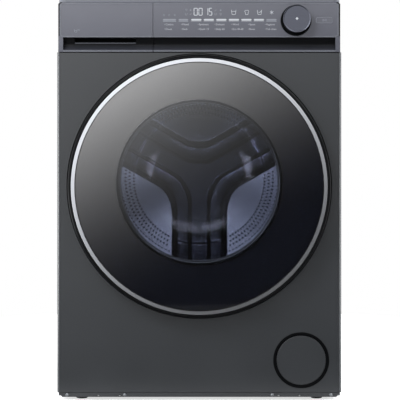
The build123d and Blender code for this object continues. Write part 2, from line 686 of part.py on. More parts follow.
# ================================================================ detergent drawer
DRAWER_RIGHT = DRAWER_SEAM_X - DRAWER_SEAM / 2
PULL_X = (-HALF + 36.0, -HALF + 166.0)                  # finger slot under the drawer's face
PULL_Z = (FASCIA_BOTTOM - 12.0, FASCIA_BOTTOM - 1.0)
PULL_DEPTH = 34.0
PULL_WALL = 2.5
TRAY_WALL = 2.0
TRAY_X = (-HALF + 16.0, -HALF + 187.0)
TRAY_Z = (CONSOLE_BOTTOM + 9.5, CONSOLE_TOP - 26.0)
TRAY_BACK = -22.0
PAD_DEPTH = 4.0
TONGUE_WIDTH = 12.0
TONGUE_Z = (TRAY_Z[0] + 14, TRAY_Z[0] + 30)

with BuildPart() as drawer_front:
    console_strip(-CONSOLE_HALF + GROOVE_END, DRAWER_RIGHT, True)
    hollow_console(-CONSOLE_HALF + GROOVE_END + CONSOLE_WALL, DRAWER_RIGHT - CONSOLE_WALL)
    console_strip(-CONSOLE_HALF, -CONSOLE_HALF + GROOVE_END, False)
    round_console_corner(-1)
    # pocket for the fingers, closed at the back and the sides
    pocket_low = (PULL_X[0], CONSOLE_FACE + 1, PULL_Z[0])
    pocket_high = (PULL_X[1], CONSOLE_FACE + PULL_DEPTH, PULL_Z[1])
    box(
        (pocket_low[0] - PULL_WALL, CONSOLE_FACE + GROOVE_DEPTH, pocket_low[2] - PULL_WALL),
        (pocket_high[0] + PULL_WALL, pocket_high[1] + PULL_WALL, pocket_high[2] + PULL_WALL),
    )
    box(pocket_low, pocket_high, mode=Mode.SUBTRACT)
    # pads the tray's tongues rest against
    for x in (TRAY_X[0], TRAY_X[1] - TONGUE_WIDTH):
        box(
            (x, CONSOLE_FACE + GROOVE_DEPTH, TONGUE_Z[0]),
            (x + TONGUE_WIDTH, CONSOLE_REAR - PAD_DEPTH - GAP, TONGUE_Z[1]),
        )
save(drawer_front.part, "drawer_front")

TRAY_FRONT = CONSOLE_FACE + PULL_DEPTH + PULL_WALL + GAP
TRAY_SPLITS = (TRAY_X[0] + 58.0, TRAY_X[0] + 114.0)             # walls between the three compartments
with BuildPart() as drawer_tray:
    box((TRAY_X[0], TRAY_FRONT, TRAY_Z[0]), (TRAY_X[1], TRAY_BACK, TRAY_Z[1]))
    cells = [TRAY_X[0], *TRAY_SPLITS, TRAY_X[1]]
    for left, right in zip(cells, cells[1:]):
        box(
            (left + TRAY_WALL, TRAY_FRONT + TRAY_WALL, TRAY_Z[0] + TRAY_WALL),
            (right - TRAY_WALL, TRAY_BACK - TRAY_WALL, TRAY_Z[1] + 1),
            mode=Mode.SUBTRACT,
        )
    # tongues that clip into the drawer's front, one each side of the pull
    for x in (TRAY_X[0], TRAY_X[1] - TONGUE_WIDTH):
        box(
            (x, CONSOLE_REAR - PAD_DEPTH, TONGUE_Z[0]),
            (x + TONGUE_WIDTH, TRAY_FRONT + 1, TONGUE_Z[1]),
        )
save(drawer_tray.part, "drawer_tray")

SIPHON_TOP = TRAY_Z[1] - 4.0
with BuildPart() as siphon_cap:
    siphon_x = (TRAY_SPLITS[0] + TRAY_SPLITS[1]) / 2
    siphon_half = (TRAY_SPLITS[1] - TRAY_SPLITS[0]) / 2 - TRAY_WALL - GAP
    box(
        (siphon_x - siphon_half, TRAY_BACK - TRAY_WALL - GAP - 70, SIPHON_TOP - 3),
        (siphon_x + siphon_half, TRAY_BACK - TRAY_WALL - GAP, SIPHON_TOP),
    )
    tube(siphon_x, TRAY_BACK - 28, TRAY_Z[0] + TRAY_WALL + GAP, SIPHON_TOP, 8, 5)
    tube(siphon_x, TRAY_BACK - 28, SIPHON_TOP - 3, SIPHON_TOP, 8)
    # grip rib to lift the cap out
    box((siphon_x - 12, TRAY_BACK - 60, SIPHON_TOP), (siphon_x + 12, TRAY_BACK - 57, SIPHON_TOP + 3))
save(siphon_cap.part, "siphon_cap")

HOUSING_WALL = 2.5
HOUSING_X = (-HALF + 7.0, -HALF + 196.0)
HOUSING_Z = (CONSOLE_BOTTOM + 4.5, CONSOLE_TOP - 14.0)
HOUSING_FRONT = FRAME_Y + FRAME_SHEET + GAP
HOUSING_BACK = 12.0
OUTLET_X = -HALF + 150.0
OUTLET_Y = -30.0
OUTLET_RADIUS = 14.0
with BuildPart() as dispenser_housing:
    box(
        (HOUSING_X[0], HOUSING_FRONT, HOUSING_Z[0]),
        (HOUSING_X[1], HOUSING_BACK, HOUSING_Z[1]),
    )
    box(
        (HOUSING_X[0] + HOUSING_WALL, HOUSING_FRONT - 1, HOUSING_Z[0] + HOUSING_WALL),
        (HOUSING_X[1] - HOUSING_WALL, HOUSING_BACK - HOUSING_WALL, HOUSING_Z[1] - HOUSING_WALL),
        mode=Mode.SUBTRACT,
    )
    # runners under the tray
    for x in (TRAY_X[0] + 8, TRAY_X[1] - 8):
        box(
            (x - 3, HOUSING_FRONT, HOUSING_Z[0] + HOUSING_WALL - 0.5),
            (x + 3, TRAY_BACK, TRAY_Z[0] - GAP),
        )
    tube(OUTLET_X, OUTLET_Y, HOUSING_Z[0] - 12, HOUSING_Z[0] + 1, OUTLET_RADIUS, 11)
    tube(OUTLET_X, OUTLET_Y, HOUSING_Z[0] - 12, HOUSING_Z[0] + 5, 11, mode=Mode.SUBTRACT)
    # spigot where the fill hose arrives
    ring(INLET_X, INLET_Z, HOUSING_BACK - 1, HOUSING_BACK + 14, 6.5)
    ring(INLET_X, INLET_Z, HOUSING_BACK - 5, HOUSING_BACK + 14, 4.5, mode=Mode.SUBTRACT)
save(dispenser_housing.part, "dispenser_housing")

# ---------------------------------------------------------------- water inlet
THREAD_RADIUS = 13.2
THREAD_LENGTH = 12.0
VALVE_FRONT = BACK - 60.0
with BuildPart() as inlet_valve:
    box((INLET_X - 20, VALVE_FRONT, INLET_Z - 18), (INLET_X + 20, BACK - 2 * SHEET - GAP, INLET_Z + 18))
    ring(INLET_X, INLET_Z, BACK - 3, BACK + THREAD_LENGTH, THREAD_RADIUS)
    ring(INLET_X, INLET_Z, BACK - 8, BACK + THREAD_LENGTH, 9.0, mode=Mode.SUBTRACT)
    # coil on top and spigot towards the dispenser
    tube(INLET_X, VALVE_FRONT + 22, INLET_Z + 17, INLET_Z + 42, 14)
    ring(INLET_X, INLET_Z, VALVE_FRONT - 14, VALVE_FRONT + 1, 6.5)
    # straps to the rear panel
    box(
        (INLET_X - 30, BACK - 2 * SHEET - GAP, INLET_Z - 30),
        (INLET_X - 17, BACK - SHEET, INLET_Z + 18),
    )
    box(
        (INLET_X + 17, BACK - 2 * SHEET - GAP, INLET_Z - 30),
        (INLET_X + 30, BACK - SHEET, INLET_Z + 18),
    )
save(inlet_valve.part, "inlet_valve")

# ================================================================ door
F = FRONT
FLANGE_FRONT = F - 34.4
FLANGE_BACK = F - 31.4
LEDGE_FRONT = F - 9.7
LEDGE_BACK = F - 6.7
DOOR_BACK = F + 3.0
DOOR_WALL = 3.5
PLATE_FRONT = F - 6.4
PLATE_BACK = F - 2.9
GLASS_APEX = F - DOOR_PROUD
GLASS_EDGE = F - 38.2
GLASS_THICK = 3.5
FUNNEL_RADIUS = 186.0
BOWL_HOLE = 169.0
FLANGE_INNER = TRIM_INNER - 11.0
LEDGE_INNER = DOOR_RADIUS - 20.0

with BuildPart() as door_outer_frame:
    turned(
        [
            (FLANGE_FRONT, FLANGE_INNER),
            (FLANGE_FRONT, TRIM_OUTER + 0.4),
            (F - 37.4, TRIM_OUTER + 0.6),
            (F - 38.0, DOOR_RADIUS - 4.4),
            (F - 37.2, DOOR_RADIUS - 1.6),
            (F - 34.5, DOOR_RADIUS),
            (F - 8.0, DOOR_RADIUS),
            (F + 2.0, DOOR_RADIUS - 6.5),
            (DOOR_BACK, DOOR_RADIUS - 9),
            (DOOR_BACK, DOOR_RADIUS - 11.5),
            (LEDGE_BACK, DOOR_RADIUS - 11.5),
            (LEDGE_BACK, LEDGE_INNER),
            (LEDGE_FRONT, LEDGE_INNER),
            (LEDGE_FRONT, DOOR_RADIUS - DOOR_WALL),
            (FLANGE_BACK, DOOR_RADIUS - DOOR_WALL),
            (FLANGE_BACK, FLANGE_INNER),
        ],
        DOOR_SECTION,
        DOOR_AXIS,
    )
    # notch that clears the fixed hinge knuckles as the door swings
    box(
        (-DOOR_RADIUS - 10, FLANGE_BACK - 1.0, DOOR_Z - HINGE_REACH),
        (-232, DOOR_BACK + 5, DOOR_Z + HINGE_REACH),
        mode=Mode.SUBTRACT,
    )
save(door_outer_frame.part, "door_outer_frame")

with BuildPart() as door_trim_ring:
    turned(
        [
            (FLANGE_FRONT - GAP, TRIM_INNER),
            (F - 38.6, TRIM_INNER),
            (F - 39.8, TRIM_INNER + 1.8),
            (F - 40.2, TRIM_INNER + 3.6),
            (F - 39.7, TRIM_INNER + 5.8),
            (F - 38.2, TRIM_OUTER - 0.5),
            (F - 37.4, TRIM_OUTER),
            (FLANGE_FRONT - GAP, TRIM_OUTER),
        ],
        DOOR_SECTION,
        DOOR_AXIS,
    )
save(door_trim_ring.part, "door_trim_ring")

with BuildPart() as door_glass_cover:
    edge = TRIM_INNER - 0.4
    sag = GLASS_EDGE - GLASS_APEX
    curve = (edge**2 + sag**2) / (2 * sag)
    halfway = GLASS_APEX + curve - sqrt(curve**2 - edge**2 / 4)
    with BuildSketch(DOOR_SECTION) as dome:
        with BuildLine():
            ThreePointArc((GLASS_APEX, 0), (halfway, edge / 2), (GLASS_EDGE, edge))
            Line((GLASS_EDGE, edge), (GLASS_EDGE + GLASS_THICK, edge))
            ThreePointArc(
                (GLASS_EDGE + GLASS_THICK, edge),
                (halfway + GLASS_THICK, edge / 2),
                (GLASS_APEX + GLASS_THICK, 0),
            )
            Line((GLASS_APEX + GLASS_THICK, 0), (GLASS_APEX, 0))
        make_face()
    revolve(dome.sketch, axis=DOOR_AXIS)
save(door_glass_cover.part, "door_glass_cover")

HOOK_Y = F - 14.0
HOOK_PIN = 2.0
HOOK_EAR = (9.0, 13.0)
with BuildPart() as door_inner_frame:
    ring(0, DOOR_Z, PLATE_FRONT, PLATE_BACK, DOOR_RADIUS - 12)
    # the lip that masks the space between the bowl and the outer glass
    ring(0, DRUM_Z, F - 34.4, PLATE_FRONT, FUNNEL_RADIUS + 3, FUNNEL_RADIUS)
    ring(0, DRUM_Z, PLATE_FRONT - 1, PLATE_BACK + 1, BOWL_HOLE, mode=Mode.SUBTRACT)
    # ears that carry the hook's pin
    for low, high in (HOOK_EAR, (-HOOK_EAR[1], -HOOK_EAR[0])):
        box(
            (LATCH_X - 7, HOOK_Y - 5, DOOR_Z + low),
            (LATCH_X + 7, PLATE_FRONT, DOOR_Z + high),
        )
    tube(
        LATCH_X, HOOK_Y, DOOR_Z - HOOK_EAR[1] - 1, DOOR_Z + HOOK_EAR[1] + 1,
        HOOK_PIN + RUN, mode=Mode.SUBTRACT,
    )
    box(
        (LATCH_X - 10, PLATE_FRONT - 1, DOOR_Z - HOOK_EAR[0]),
        (LATCH_X + 10, PLATE_BACK + 1, DOOR_Z + HOOK_EAR[0]),
        mode=Mode.SUBTRACT,
    )
    box(
        (-DOOR_RADIUS - 10, PLATE_FRONT - 1, DOOR_Z - HINGE_REACH),
        (-232, PLATE_BACK + 1, DOOR_Z + HINGE_REACH),
        mode=Mode.SUBTRACT,
    )
save(door_inner_frame.part, "door_inner_frame")

BOWL_FLANGE = 182.0
BOWL_DEEP = F + 100.0
BOWL_GLASS = 5.0
with BuildPart() as door_bowl:
    with BuildSketch(DRUM_SECTION) as bowl:
        with BuildLine():
            outer = Spline(
                (F - 6.7, 168), (F + 30, 160), (F + 74, 144), (F + 95, 110), (BOWL_DEEP, 0),
                tangents=((1, -0.1), (0, -1)),
            )
            inner = Spline(
                (F - 11.7, 163), (F + 28, 155), (F + 71, 139), (F + 90, 107), (BOWL_DEEP - BOWL_GLASS, 0),
                tangents=((1, -0.1), (0, -1)),
            )
            Line(outer @ 1, inner @ 1)
            Polyline(outer @ 0, (F - 6.7, BOWL_FLANGE), (F - 11.7, BOWL_FLANGE), inner @ 0)
        make_face()
    revolve(bowl.sketch, axis=DRUM_AXIS)
save(door_bowl.part, "door_bowl")

HOOK_TIP = F + 22.0
HOOK_BARB = 6.0
with BuildPart() as door_hook:
    tube(LATCH_X, HOOK_Y, DOOR_Z - HOOK_EAR[1] - 2, DOOR_Z + HOOK_EAR[1] + 2, HOOK_PIN)
    tube(LATCH_X, HOOK_Y, DOOR_Z - LATCH_HALF, DOOR_Z + LATCH_HALF, 5.0)
    with BuildSketch(Plane.XY.offset(DOOR_Z - LATCH_HALF)) as hook:
        with BuildLine():
            Polyline(
                (LATCH_X - 3, HOOK_Y),
                (LATCH_X + 3, HOOK_Y),
                (LATCH_X + 3, HOOK_TIP - 6),
                (LATCH_X - 3, HOOK_TIP),
                (LATCH_X - 5, HOOK_TIP),
                (LATCH_X - 3 - HOOK_BARB, HOOK_TIP - 5),
                (LATCH_X - 3 - HOOK_BARB, HOOK_TIP - 8),
                (LATCH_X - 3, HOOK_TIP - 8),
                close=True,
            )
        make_face()
    extrude(hook.sketch, amount=2 * LATCH_HALF)
save(door_hook.part, "door_hook")

# ---------------------------------------------------------------- hinge
with BuildPart() as hinge_arm:
    with BuildSketch(Plane.XY.offset(DOOR_Z - HINGE_ARM_HALF)) as arm:
        with BuildLine():
            Polyline(
                (HINGE_X, HINGE_Y + 6.5),
                (HINGE_X + 4.5, HINGE_Y - 5.2),
                (HINGE_X + 17, PLATE_FRONT - 4.3),
                (-198, PLATE_FRONT - 4.3),
                (-198, PLATE_FRONT - 0.3),
                (HINGE_X + 14, PLATE_FRONT - 0.3),
                close=True,
            )
        make_face()
        with Locations((HINGE_X, HINGE_Y)):
            Circle(HINGE_KNUCKLE)
            Circle(HINGE_PIN_RADIUS + RUN, mode=Mode.SUBTRACT)
    extrude(arm.sketch, amount=2 * HINGE_ARM_HALF)
save(hinge_arm.part, "hinge_arm")

BRACKET_Y = DISH_FLOOR + SHEET + GAP
with BuildPart() as hinge_bracket:
    for low in (DOOR_Z + KNUCKLE_LOW, DOOR_Z - KNUCKLE_HIGH):
        with BuildSketch(Plane.XY.offset(low)) as knuckle:
            with BuildLine():
                Polyline(
                    (HINGE_X - 1, HINGE_Y + 5),
                    (HINGE_X + 4, HINGE_Y + 28),
                    (HINGE_X + 4, BRACKET_Y + 1),
                    (HINGE_X + 14, BRACKET_Y + 1),
                    (HINGE_X + 14, HINGE_Y + 26),
                    (HINGE_X + 6, HINGE_Y + 2),
                    close=True,
                )
            make_face()
            with Locations((HINGE_X, HINGE_Y)):
                Circle(HINGE_KNUCKLE)
                Circle(HINGE_PIN_RADIUS + RUN, mode=Mode.SUBTRACT)
        extrude(knuckle.sketch, amount=HINGE_KNUCKLE_HEIGHT)
    box((-265, BRACKET_Y, DOOR_Z - 55), (-205, BRACKET_Y + BRACKET_SHEET, DOOR_Z + 55))
save(hinge_bracket.part, "hinge_bracket")

with BuildPart() as hinge_pin:
    tube(
        HINGE_X, HINGE_Y, DOOR_Z - KNUCKLE_HIGH - 2, DOOR_Z + KNUCKLE_HIGH + 0.3, HINGE_PIN_RADIUS
    )
    tube(HINGE_X, HINGE_Y, DOOR_Z + KNUCKLE_HIGH + 0.3, DOOR_Z + KNUCKLE_HIGH + 3, 6.0)
save(hinge_pin.part, "hinge_pin")

LOCK_X = (215.5, 262.0)
LOCK_HALF = 35.0
LOCK_BACK = F + 40.0
CATCH_X = LATCH_X - 6.0      # edge the hook's barb catches behind
with BuildPart() as door_lock:
    box(
        (LOCK_X[0], BRACKET_Y, DOOR_Z - LOCK_HALF),
        (LOCK_X[1], LOCK_BACK, DOOR_Z + LOCK_HALF),
    )
    box(
        (LATCH_X - 13, HOOK_TIP - 8.5, DOOR_Z - 12),
        (LATCH_X + 19, LOCK_BACK - 3, DOOR_Z + 12),
        mode=Mode.SUBTRACT,
    )
    box(
        (CATCH_X, BRACKET_Y - 1, DOOR_Z - 10.5),
        (LATCH_X + 15, HOOK_TIP, DOOR_Z + 10.5),
        mode=Mode.SUBTRACT,
    )
save(door_lock.part, "door_lock")

# ================================================================ tub
TUB_OUTER = TUB_INNER + TUB_WALL
TUB_FRONT_WALL = TUB_FRONT + TUB_WALL
TUB_COLLAR = TUB_MOUTH + 4.0
FLANGE_THICK = 9.0
SPRING_LUG_Z = 618.0
HUB_BORE = 31.0
SHAFT = 15.0
DAMPER_X = 170.0
DAMPER_Y = 40.0
DAMPER_LUG_Z = 234.0
SUMP_Y = -172.0
SUMP_X = 40.0
SUMP_RADIUS = 20.0
SUMP_Z = 172.0


def outside_tub(part):
    """What is left of a piece once the tub's own cylinder is taken away."""
    with BuildPart() as trimmed:
        add(part)
        ring(0, DRUM_Z, TUB_FRONT - 40, TUB_BACK + 40, TUB_OUTER - 2, mode=Mode.SUBTRACT)
    return trimmed.part


with BuildPart() as sump_spigot:
    tube(SUMP_X, SUMP_Y, SUMP_Z, DRUM_Z - TUB_INNER + 12, SUMP_RADIUS)

with BuildPart() as tub_front:
    turned(
        [
            (TUB_FRONT - 10, TUB_MOUTH),
            (TUB_FRONT - 10, TUB_COLLAR),
            (TUB_FRONT, TUB_COLLAR),
            (TUB_FRONT, TUB_OUTER - 14),
            (TUB_FRONT + 14, TUB_OUTER),
            (-FLANGE_THICK, TUB_OUTER),
            (-FLANGE_THICK, TUB_FLANGE),
            (-0.15, TUB_FLANGE),
            (-0.15, TUB_INNER),
            (TUB_FRONT + 15, TUB_INNER),
            (TUB_FRONT_WALL, TUB_OUTER - 15),
            (TUB_FRONT_WALL, TUB_MOUTH),
        ]
    )
    for y in (TUB_FRONT + 60, TUB_FRONT + 120):
        ring(0, DRUM_Z, y, y + 3, TUB_OUTER + 6, TUB_OUTER - 1)
    add(outside_tub(sump_spigot.part))
    tube(SUMP_X, SUMP_Y, SUMP_Z - 1, DRUM_Z - TUB_INNER + 30, SUMP_RADIUS - 3, mode=Mode.SUBTRACT)
save(tub_front.part, "tub_front")

TUB_BACK_WALL = TUB_BACK - TUB_WALL
HEATER_TUBE = 4.0
HEATER_RADIUS = 254.3        # how far under the drum's axis the heater runs
HEATER_X = 30.0
HEATER_Z = DRUM_Z - sqrt(HEATER_RADIUS**2 - HEATER_X**2)
with BuildPart() as tub_lugs:
    # lugs for the springs, one each side
    for side in (-1, 1):
        with BuildSketch(facing(SPRING_Y - 10)) as lug:
            with BuildLine():
                Polyline(
                    (side * 190, SPRING_LUG_Z - 42),
                    (side * 190, SPRING_LUG_Z + 10),
                    (side * (SPRING_X + 10), SPRING_LUG_Z + 10),
                    (side * (SPRING_X + 10), SPRING_LUG_Z - 8),
                    (side * 238, SPRING_LUG_Z - 42),
                    close=True,
                )
            make_face()
        extrude(lug.sketch, amount=-20)
        box(
            (side * SPRING_X - 11, SPRING_Y - 4, SPRING_LUG_Z - 13),
            (side * SPRING_X + 11, SPRING_Y + 4, SPRING_LUG_Z + 12),
            mode=Mode.SUBTRACT,
        )
        ring(
            side * SPRING_X, SPRING_LUG_Z, SPRING_Y - 12, SPRING_Y + 12, 3.3,
            mode=Mode.SUBTRACT,
        )
    # brackets for the damper rods, under the shell
    for side in (-1, 1):
        box(
            (side * DAMPER_X - 14, DAMPER_Y - 10, DAMPER_LUG_Z),
            (side * DAMPER_X + 14, DAMPER_Y + 10, DAMPER_LUG_Z + 40),
        )
        tube(
            side * DAMPER_X, DAMPER_Y, DAMPER_LUG_Z - 1, DAMPER_LUG_Z + 11, 4 + RUN,
            mode=Mode.SUBTRACT,
        )

with BuildPart() as tub_rear:
    turned(
        [
            (0.15, TUB_INNER),
            (0.15, TUB_FLANGE),
            (FLANGE_THICK, TUB_FLANGE),
            (FLANGE_THICK, TUB_OUTER),
            (TUB_BACK - 12, TUB_OUTER),
            (TUB_BACK, TUB_OUTER - 12),
            (TUB_BACK, 70),
            (TUB_BACK + 30, 60),
            (TUB_BACK + 35, 60),
            (TUB_BACK + 35, HUB_BORE + 0.05),
            (TUB_BACK - 6, HUB_BORE + 0.05),
            (TUB_BACK - 6, 60),
            (TUB_BACK_WALL, 70),
            (TUB_BACK_WALL, TUB_INNER - 10),
            (TUB_BACK_WALL - 10, TUB_INNER),
        ]
    )
    for i in range(8):
        with BuildSketch(facing(TUB_BACK - 1)) as rib:
            with Locations(Pos(0, DRUM_Z) * Rot(0, 0, 45 * i + 22.5) * Pos(158, 0)):
                Rectangle(190, 4)
        extrude(rib.sketch, amount=-18)
    add(outside_tub(tub_lugs.part))
    for x in (-HEATER_X, HEATER_X):
        ring(x, HEATER_Z, TUB_BACK - 20, TUB_BACK + 2, HEATER_TUBE + 0.3, mode=Mode.SUBTRACT)
save(tub_rear.part, "tub_rear")

FLANGE_BOLT_CIRCLE = 274.0
FLANGE_BOLTS = 12
with BuildPart() as tub_bolts:
    with BuildSketch(facing(-FLANGE_THICK - 4.3)) as heads:
        with Locations(Location((0, DRUM_Z, 0))):
            with PolarLocations(FLANGE_BOLT_CIRCLE, FLANGE_BOLTS, start_angle=15):
                RegularPolygon(4.2, 6)
    extrude(heads.sketch, amount=-4)
    with BuildSketch(facing(FLANGE_THICK + 0.3)) as nuts:
        with Locations(Location((0, DRUM_Z, 0))):
            with PolarLocations(FLANGE_BOLT_CIRCLE, FLANGE_BOLTS, start_angle=15):
                RegularPolygon(4.2, 6)
    extrude(nuts.sketch, amount=-4)
save(tub_bolts.part, "tub_bolts")

WEIGHT_DEPTH = 38.0
WEIGHT_HALF_ANGLE = 55.0
with BuildPart() as counterweights:
    for middle in (90.0, 270.0):
        start = middle - WEIGHT_HALF_ANGLE
        with BuildSketch(facing(TUB_FRONT - GAP - WEIGHT_DEPTH)) as block:
            with BuildLine():
                big = CenterArc((0, DRUM_Z), 254, start, 2 * WEIGHT_HALF_ANGLE)
                small = CenterArc((0, DRUM_Z), 216, start, 2 * WEIGHT_HALF_ANGLE)
                Line(big @ 0, small @ 0)
                Line(big @ 1, small @ 1)
            make_face()
        extrude(block.sketch, amount=-WEIGHT_DEPTH)
save(counterweights.part, "counterweights")

with BuildPart() as door_gasket:
    turned(
        [
            (DISH_FLOOR - 5, 197),
            (DISH_FLOOR - GAP, 197),
            (DISH_FLOOR - GAP, 184.5),
            (DISH_FLOOR + 11, 184.5),
            (DISH_FLOOR + 16, 212),
            (DISH_FLOOR + 30, 212),
            (DISH_FLOOR + 35, 193.5),
            (TUB_FRONT - 1, 193.5),
            (TUB_FRONT - 1, TUB_COLLAR + 0.2),
            (DISH_FLOOR + 33, TUB_COLLAR + 0.2),
            (DISH_FLOOR + 27.5, 208.8),
            (DISH_FLOOR + 18.2, 208.8),
            (DISH_FLOOR + 13.5, 181.3),
            (DISH_FLOOR + 2, 181.3),
            (DISH_FLOOR + 2, 167),
            (DISH_FLOOR - 5, 167),
        ]
    )
save(door_gasket.part, "door_gasket")

SPRING_COIL = 11.0
COIL_TOP = SPRING_HOOK_Z - 30.0
COIL_FOOT = DRUM_Z + 180.0
with BuildPart() as suspension_springs:
    for x in (-SPRING_X, SPRING_X):
        tube(x, SPRING_Y, COIL_FOOT + 2, COIL_TOP + 2, SPRING_COIL, SPRING_COIL - 3)
        for z in (COIL_FOOT, COIL_TOP):
            box((x - 8, SPRING_Y - 2, z), (x + 8, SPRING_Y + 2, z + 4))
        # hook into the brace's plate
        for step in (-5, 5):
            box(
                (x + step - 1.5, SPRING_Y - 1.5, COIL_TOP + 2),
                (x + step + 1.5, SPRING_Y + 1.5, SPRING_HOOK_Z - 1.2),
            )
        with BuildSketch(Plane.YZ.offset(x - 7)) as cross:
            with Locations((SPRING_Y, SPRING_HOOK_Z - 1.2)):
                Circle(2.5)
        extrude(cross.sketch, amount=14)
        # stem and pin in the tub's lug
        tube(x, SPRING_Y, SPRING_LUG_Z, 642, 2.0)
        ring(x, SPRING_LUG_Z, SPRING_Y - 10, SPRING_Y + 10, 3.0)
save(suspension_springs.part, "suspension_springs")

DAMPER_RADIUS = 14.0
DAMPER_BORE = 12.0
ROD_RADIUS = 6.0
DAMPER_TOP = 150.0
BASE_TOP = BODY_BOTTOM + BASE_FLOOR
with BuildPart() as damper_cylinders:
    for x in (-DAMPER_X, DAMPER_X):
        tube(x, DAMPER_Y, BASE_TOP + GAP, BASE_TOP + GAP + 4, 20)
        tube(x, DAMPER_Y, BASE_TOP + GAP, DAMPER_TOP, DAMPER_RADIUS)
        tube(x, DAMPER_Y, BASE_TOP + 6, DAMPER_TOP - 5, DAMPER_BORE, mode=Mode.SUBTRACT)
        tube(x, DAMPER_Y, DAMPER_TOP - 6, DAMPER_TOP + 1, ROD_RADIUS + 0.1, mode=Mode.SUBTRACT)
save(damper_cylinders.part, "damper_cylinders")

with BuildPart() as damper_rods:
    for x in (-DAMPER_X, DAMPER_X):
        tube(x, DAMPER_Y, 60, DAMPER_LUG_Z - 3, ROD_RADIUS)
        tube(x, DAMPER_Y, 60, 76, DAMPER_BORE - 0.1)
        tube(x, DAMPER_Y, DAMPER_LUG_Z - 6, DAMPER_LUG_Z - GAP, 10)
        tube(x, DAMPER_Y, DAMPER_LUG_Z - GAP, DAMPER_LUG_Z + 10, 4)
save(damper_rods.part, "damper_rods")

HEATER_FRONT = -110.0
with BuildPart() as heater:
    for x in (-HEATER_X, HEATER_X):
        ring(x, HEATER_Z, HEATER_FRONT, TUB_BACK + 8, HEATER_TUBE)
    with BuildSketch(facing(HEATER_FRONT)) as cut:
        with Locations((HEATER_X, HEATER_Z)):
            Circle(HEATER_TUBE)
    revolve(
        cut.sketch, axis=Axis((0, HEATER_FRONT, HEATER_Z), (0, 0, 1)), revolution_arc=-180
    )
    box(
        (-HEATER_X - 14, TUB_BACK + 0.3, HEATER_Z - 9),
        (HEATER_X + 14, TUB_BACK + 10, HEATER_Z + 9),
    )
    for x in (-HEATER_X, 0, HEATER_X):
        box((x - 3, TUB_BACK + 10, HEATER_Z - 0.5), (x + 3, TUB_BACK + 20, HEATER_Z + 0.5))
save(heater.part, "heater")

# ================================================================ drum and motor
ARM_ANGLES = (30.0, 150.0, 270.0)
STAR_RISE = 20.0
BACK_PLATE = DRUM_BACK - DRUM_SHEET


def star(low, high, inset, mode):
    """Two ridges to each of the three arms, and a hub, standing in from the drum's back."""
    with BuildSketch(facing(low)) as outline:
        with Locations(Location((0, DRUM_Z, 0))):
            Circle(62 - inset)
        for angle in ARM_ANGLES:
            for side in (-1, 1):
                with Locations(Location((0, DRUM_Z, 0), (0, 0, angle))):
                    Polygon(
                        (40, side * (23 + inset)),
                        (236 - inset, side * (22 + inset)),
                        (236 - inset, side * (58 - inset)),
                        (150, side * (62 - inset)),
                        (40, side * (70 - inset)),
                        align=None,
                    )
    extrude(outline.sketch, amount=low - high, mode=mode)


with BuildPart() as drum_shell:
    turned(
        [
            (-187, DRUM_LIP_RADIUS),
            (-187, 187),
            (-183.5, 190),
            (-180.5, 238),
            (-172, DRUM_RADIUS),
            (DRUM_BACK, DRUM_RADIUS),
            (DRUM_BACK, 0),
            (BACK_PLATE, 0),
            (BACK_PLATE, DRUM_RADIUS - DRUM_SHEET),
            (-171.4, DRUM_RADIUS - DRUM_SHEET),
            (-179, 237),
            (-182, 190.5),
            (-185.5, 188.2),
            (-185.5, DRUM_LIP_RADIUS),
        ]
    )
    star(BACK_PLATE - STAR_RISE, BACK_PLATE, 0.0, Mode.ADD)
    star(BACK_PLATE - STAR_RISE + DRUM_SHEET, DRUM_BACK + 1, DRUM_SHEET, Mode.SUBTRACT)
save(drum_shell.part, "drum_shell")

LIFTER_BACK = BACK_PLATE - STAR_RISE - 4
LIFTER_FOOT = DRUM_RADIUS - 5.2
with BuildPart() as drum_lifters:
    for angle in ARM_ANGLES:
        with BuildSketch(facing(-160)) as lifter:
            with Locations(Location((0, DRUM_Z, 0), (0, 0, angle))):
                Polygon(
                    (LIFTER_FOOT, -38), (LIFTER_FOOT, 38), (LIFTER_FOOT - 5.3, 38), (LIFTER_FOOT - 27.3, 22),
                    (LIFTER_FOOT - 46.3, 14), (LIFTER_FOOT - 51.3, 7), (LIFTER_FOOT - 51.3, -7),
                    (LIFTER_FOOT - 46.3, -14), (LIFTER_FOOT - 27.3, -22), (LIFTER_FOOT - 5.3, -38),
                    align=None,
                )
        extrude(lifter.sketch, amount=-(LIFTER_BACK + 160))
save(drum_lifters.part, "drum_lifters")

SPIDER_BACK = 196.0
SPIDER_REACH = DRUM_RADIUS - 8.5
ROTOR_SEAT = 262.0
THREAD_END = 274.0
with BuildPart() as drum_spider:
    ring(0, DRUM_Z, DRUM_BACK + GAP, SPIDER_BACK, 45)
    for angle in ARM_ANGLES:
        with BuildSketch(facing(DRUM_BACK + GAP)) as arm:
            with Locations(Location((0, DRUM_Z, 0), (0, 0, angle))):
                Polygon((20, -26), (SPIDER_REACH, -15), (SPIDER_REACH, 15), (20, 26), align=None)
        extrude(arm.sketch, amount=-12)
    ring(0, DRUM_Z, SPIDER_BACK - 1, ROTOR_SEAT, SHAFT)
    ring(0, DRUM_Z, ROTOR_SEAT, THREAD_END, 10)
save(drum_spider.part, "drum_spider")

with BuildPart() as drum_bearings:
    for y in (TUB_BACK - 2, TUB_BACK + 17):
        ring(0, DRUM_Z, y, y + 16, HUB_BORE - 0.05, SHAFT + RUN)
save(drum_bearings.part, "drum_bearings")

HUB_FACE = TUB_BACK + 35
with BuildPart() as motor_stator:
    ring(0, DRUM_Z, HUB_FACE + GAP, HUB_FACE + 3, 100, 48)
    ring(0, DRUM_Z, HUB_FACE + 2, HUB_FACE + 17, 108, 78)
    for i in range(24):
        with BuildSketch(facing(HUB_FACE + 3)) as tooth:
            with Locations(Pos(0, DRUM_Z) * Rot(0, 0, 15 * i) * Pos(121, 0)):
                Rectangle(30, 15)
        extrude(tooth.sketch, amount=-13)
save(motor_stator.part, "motor_stator")

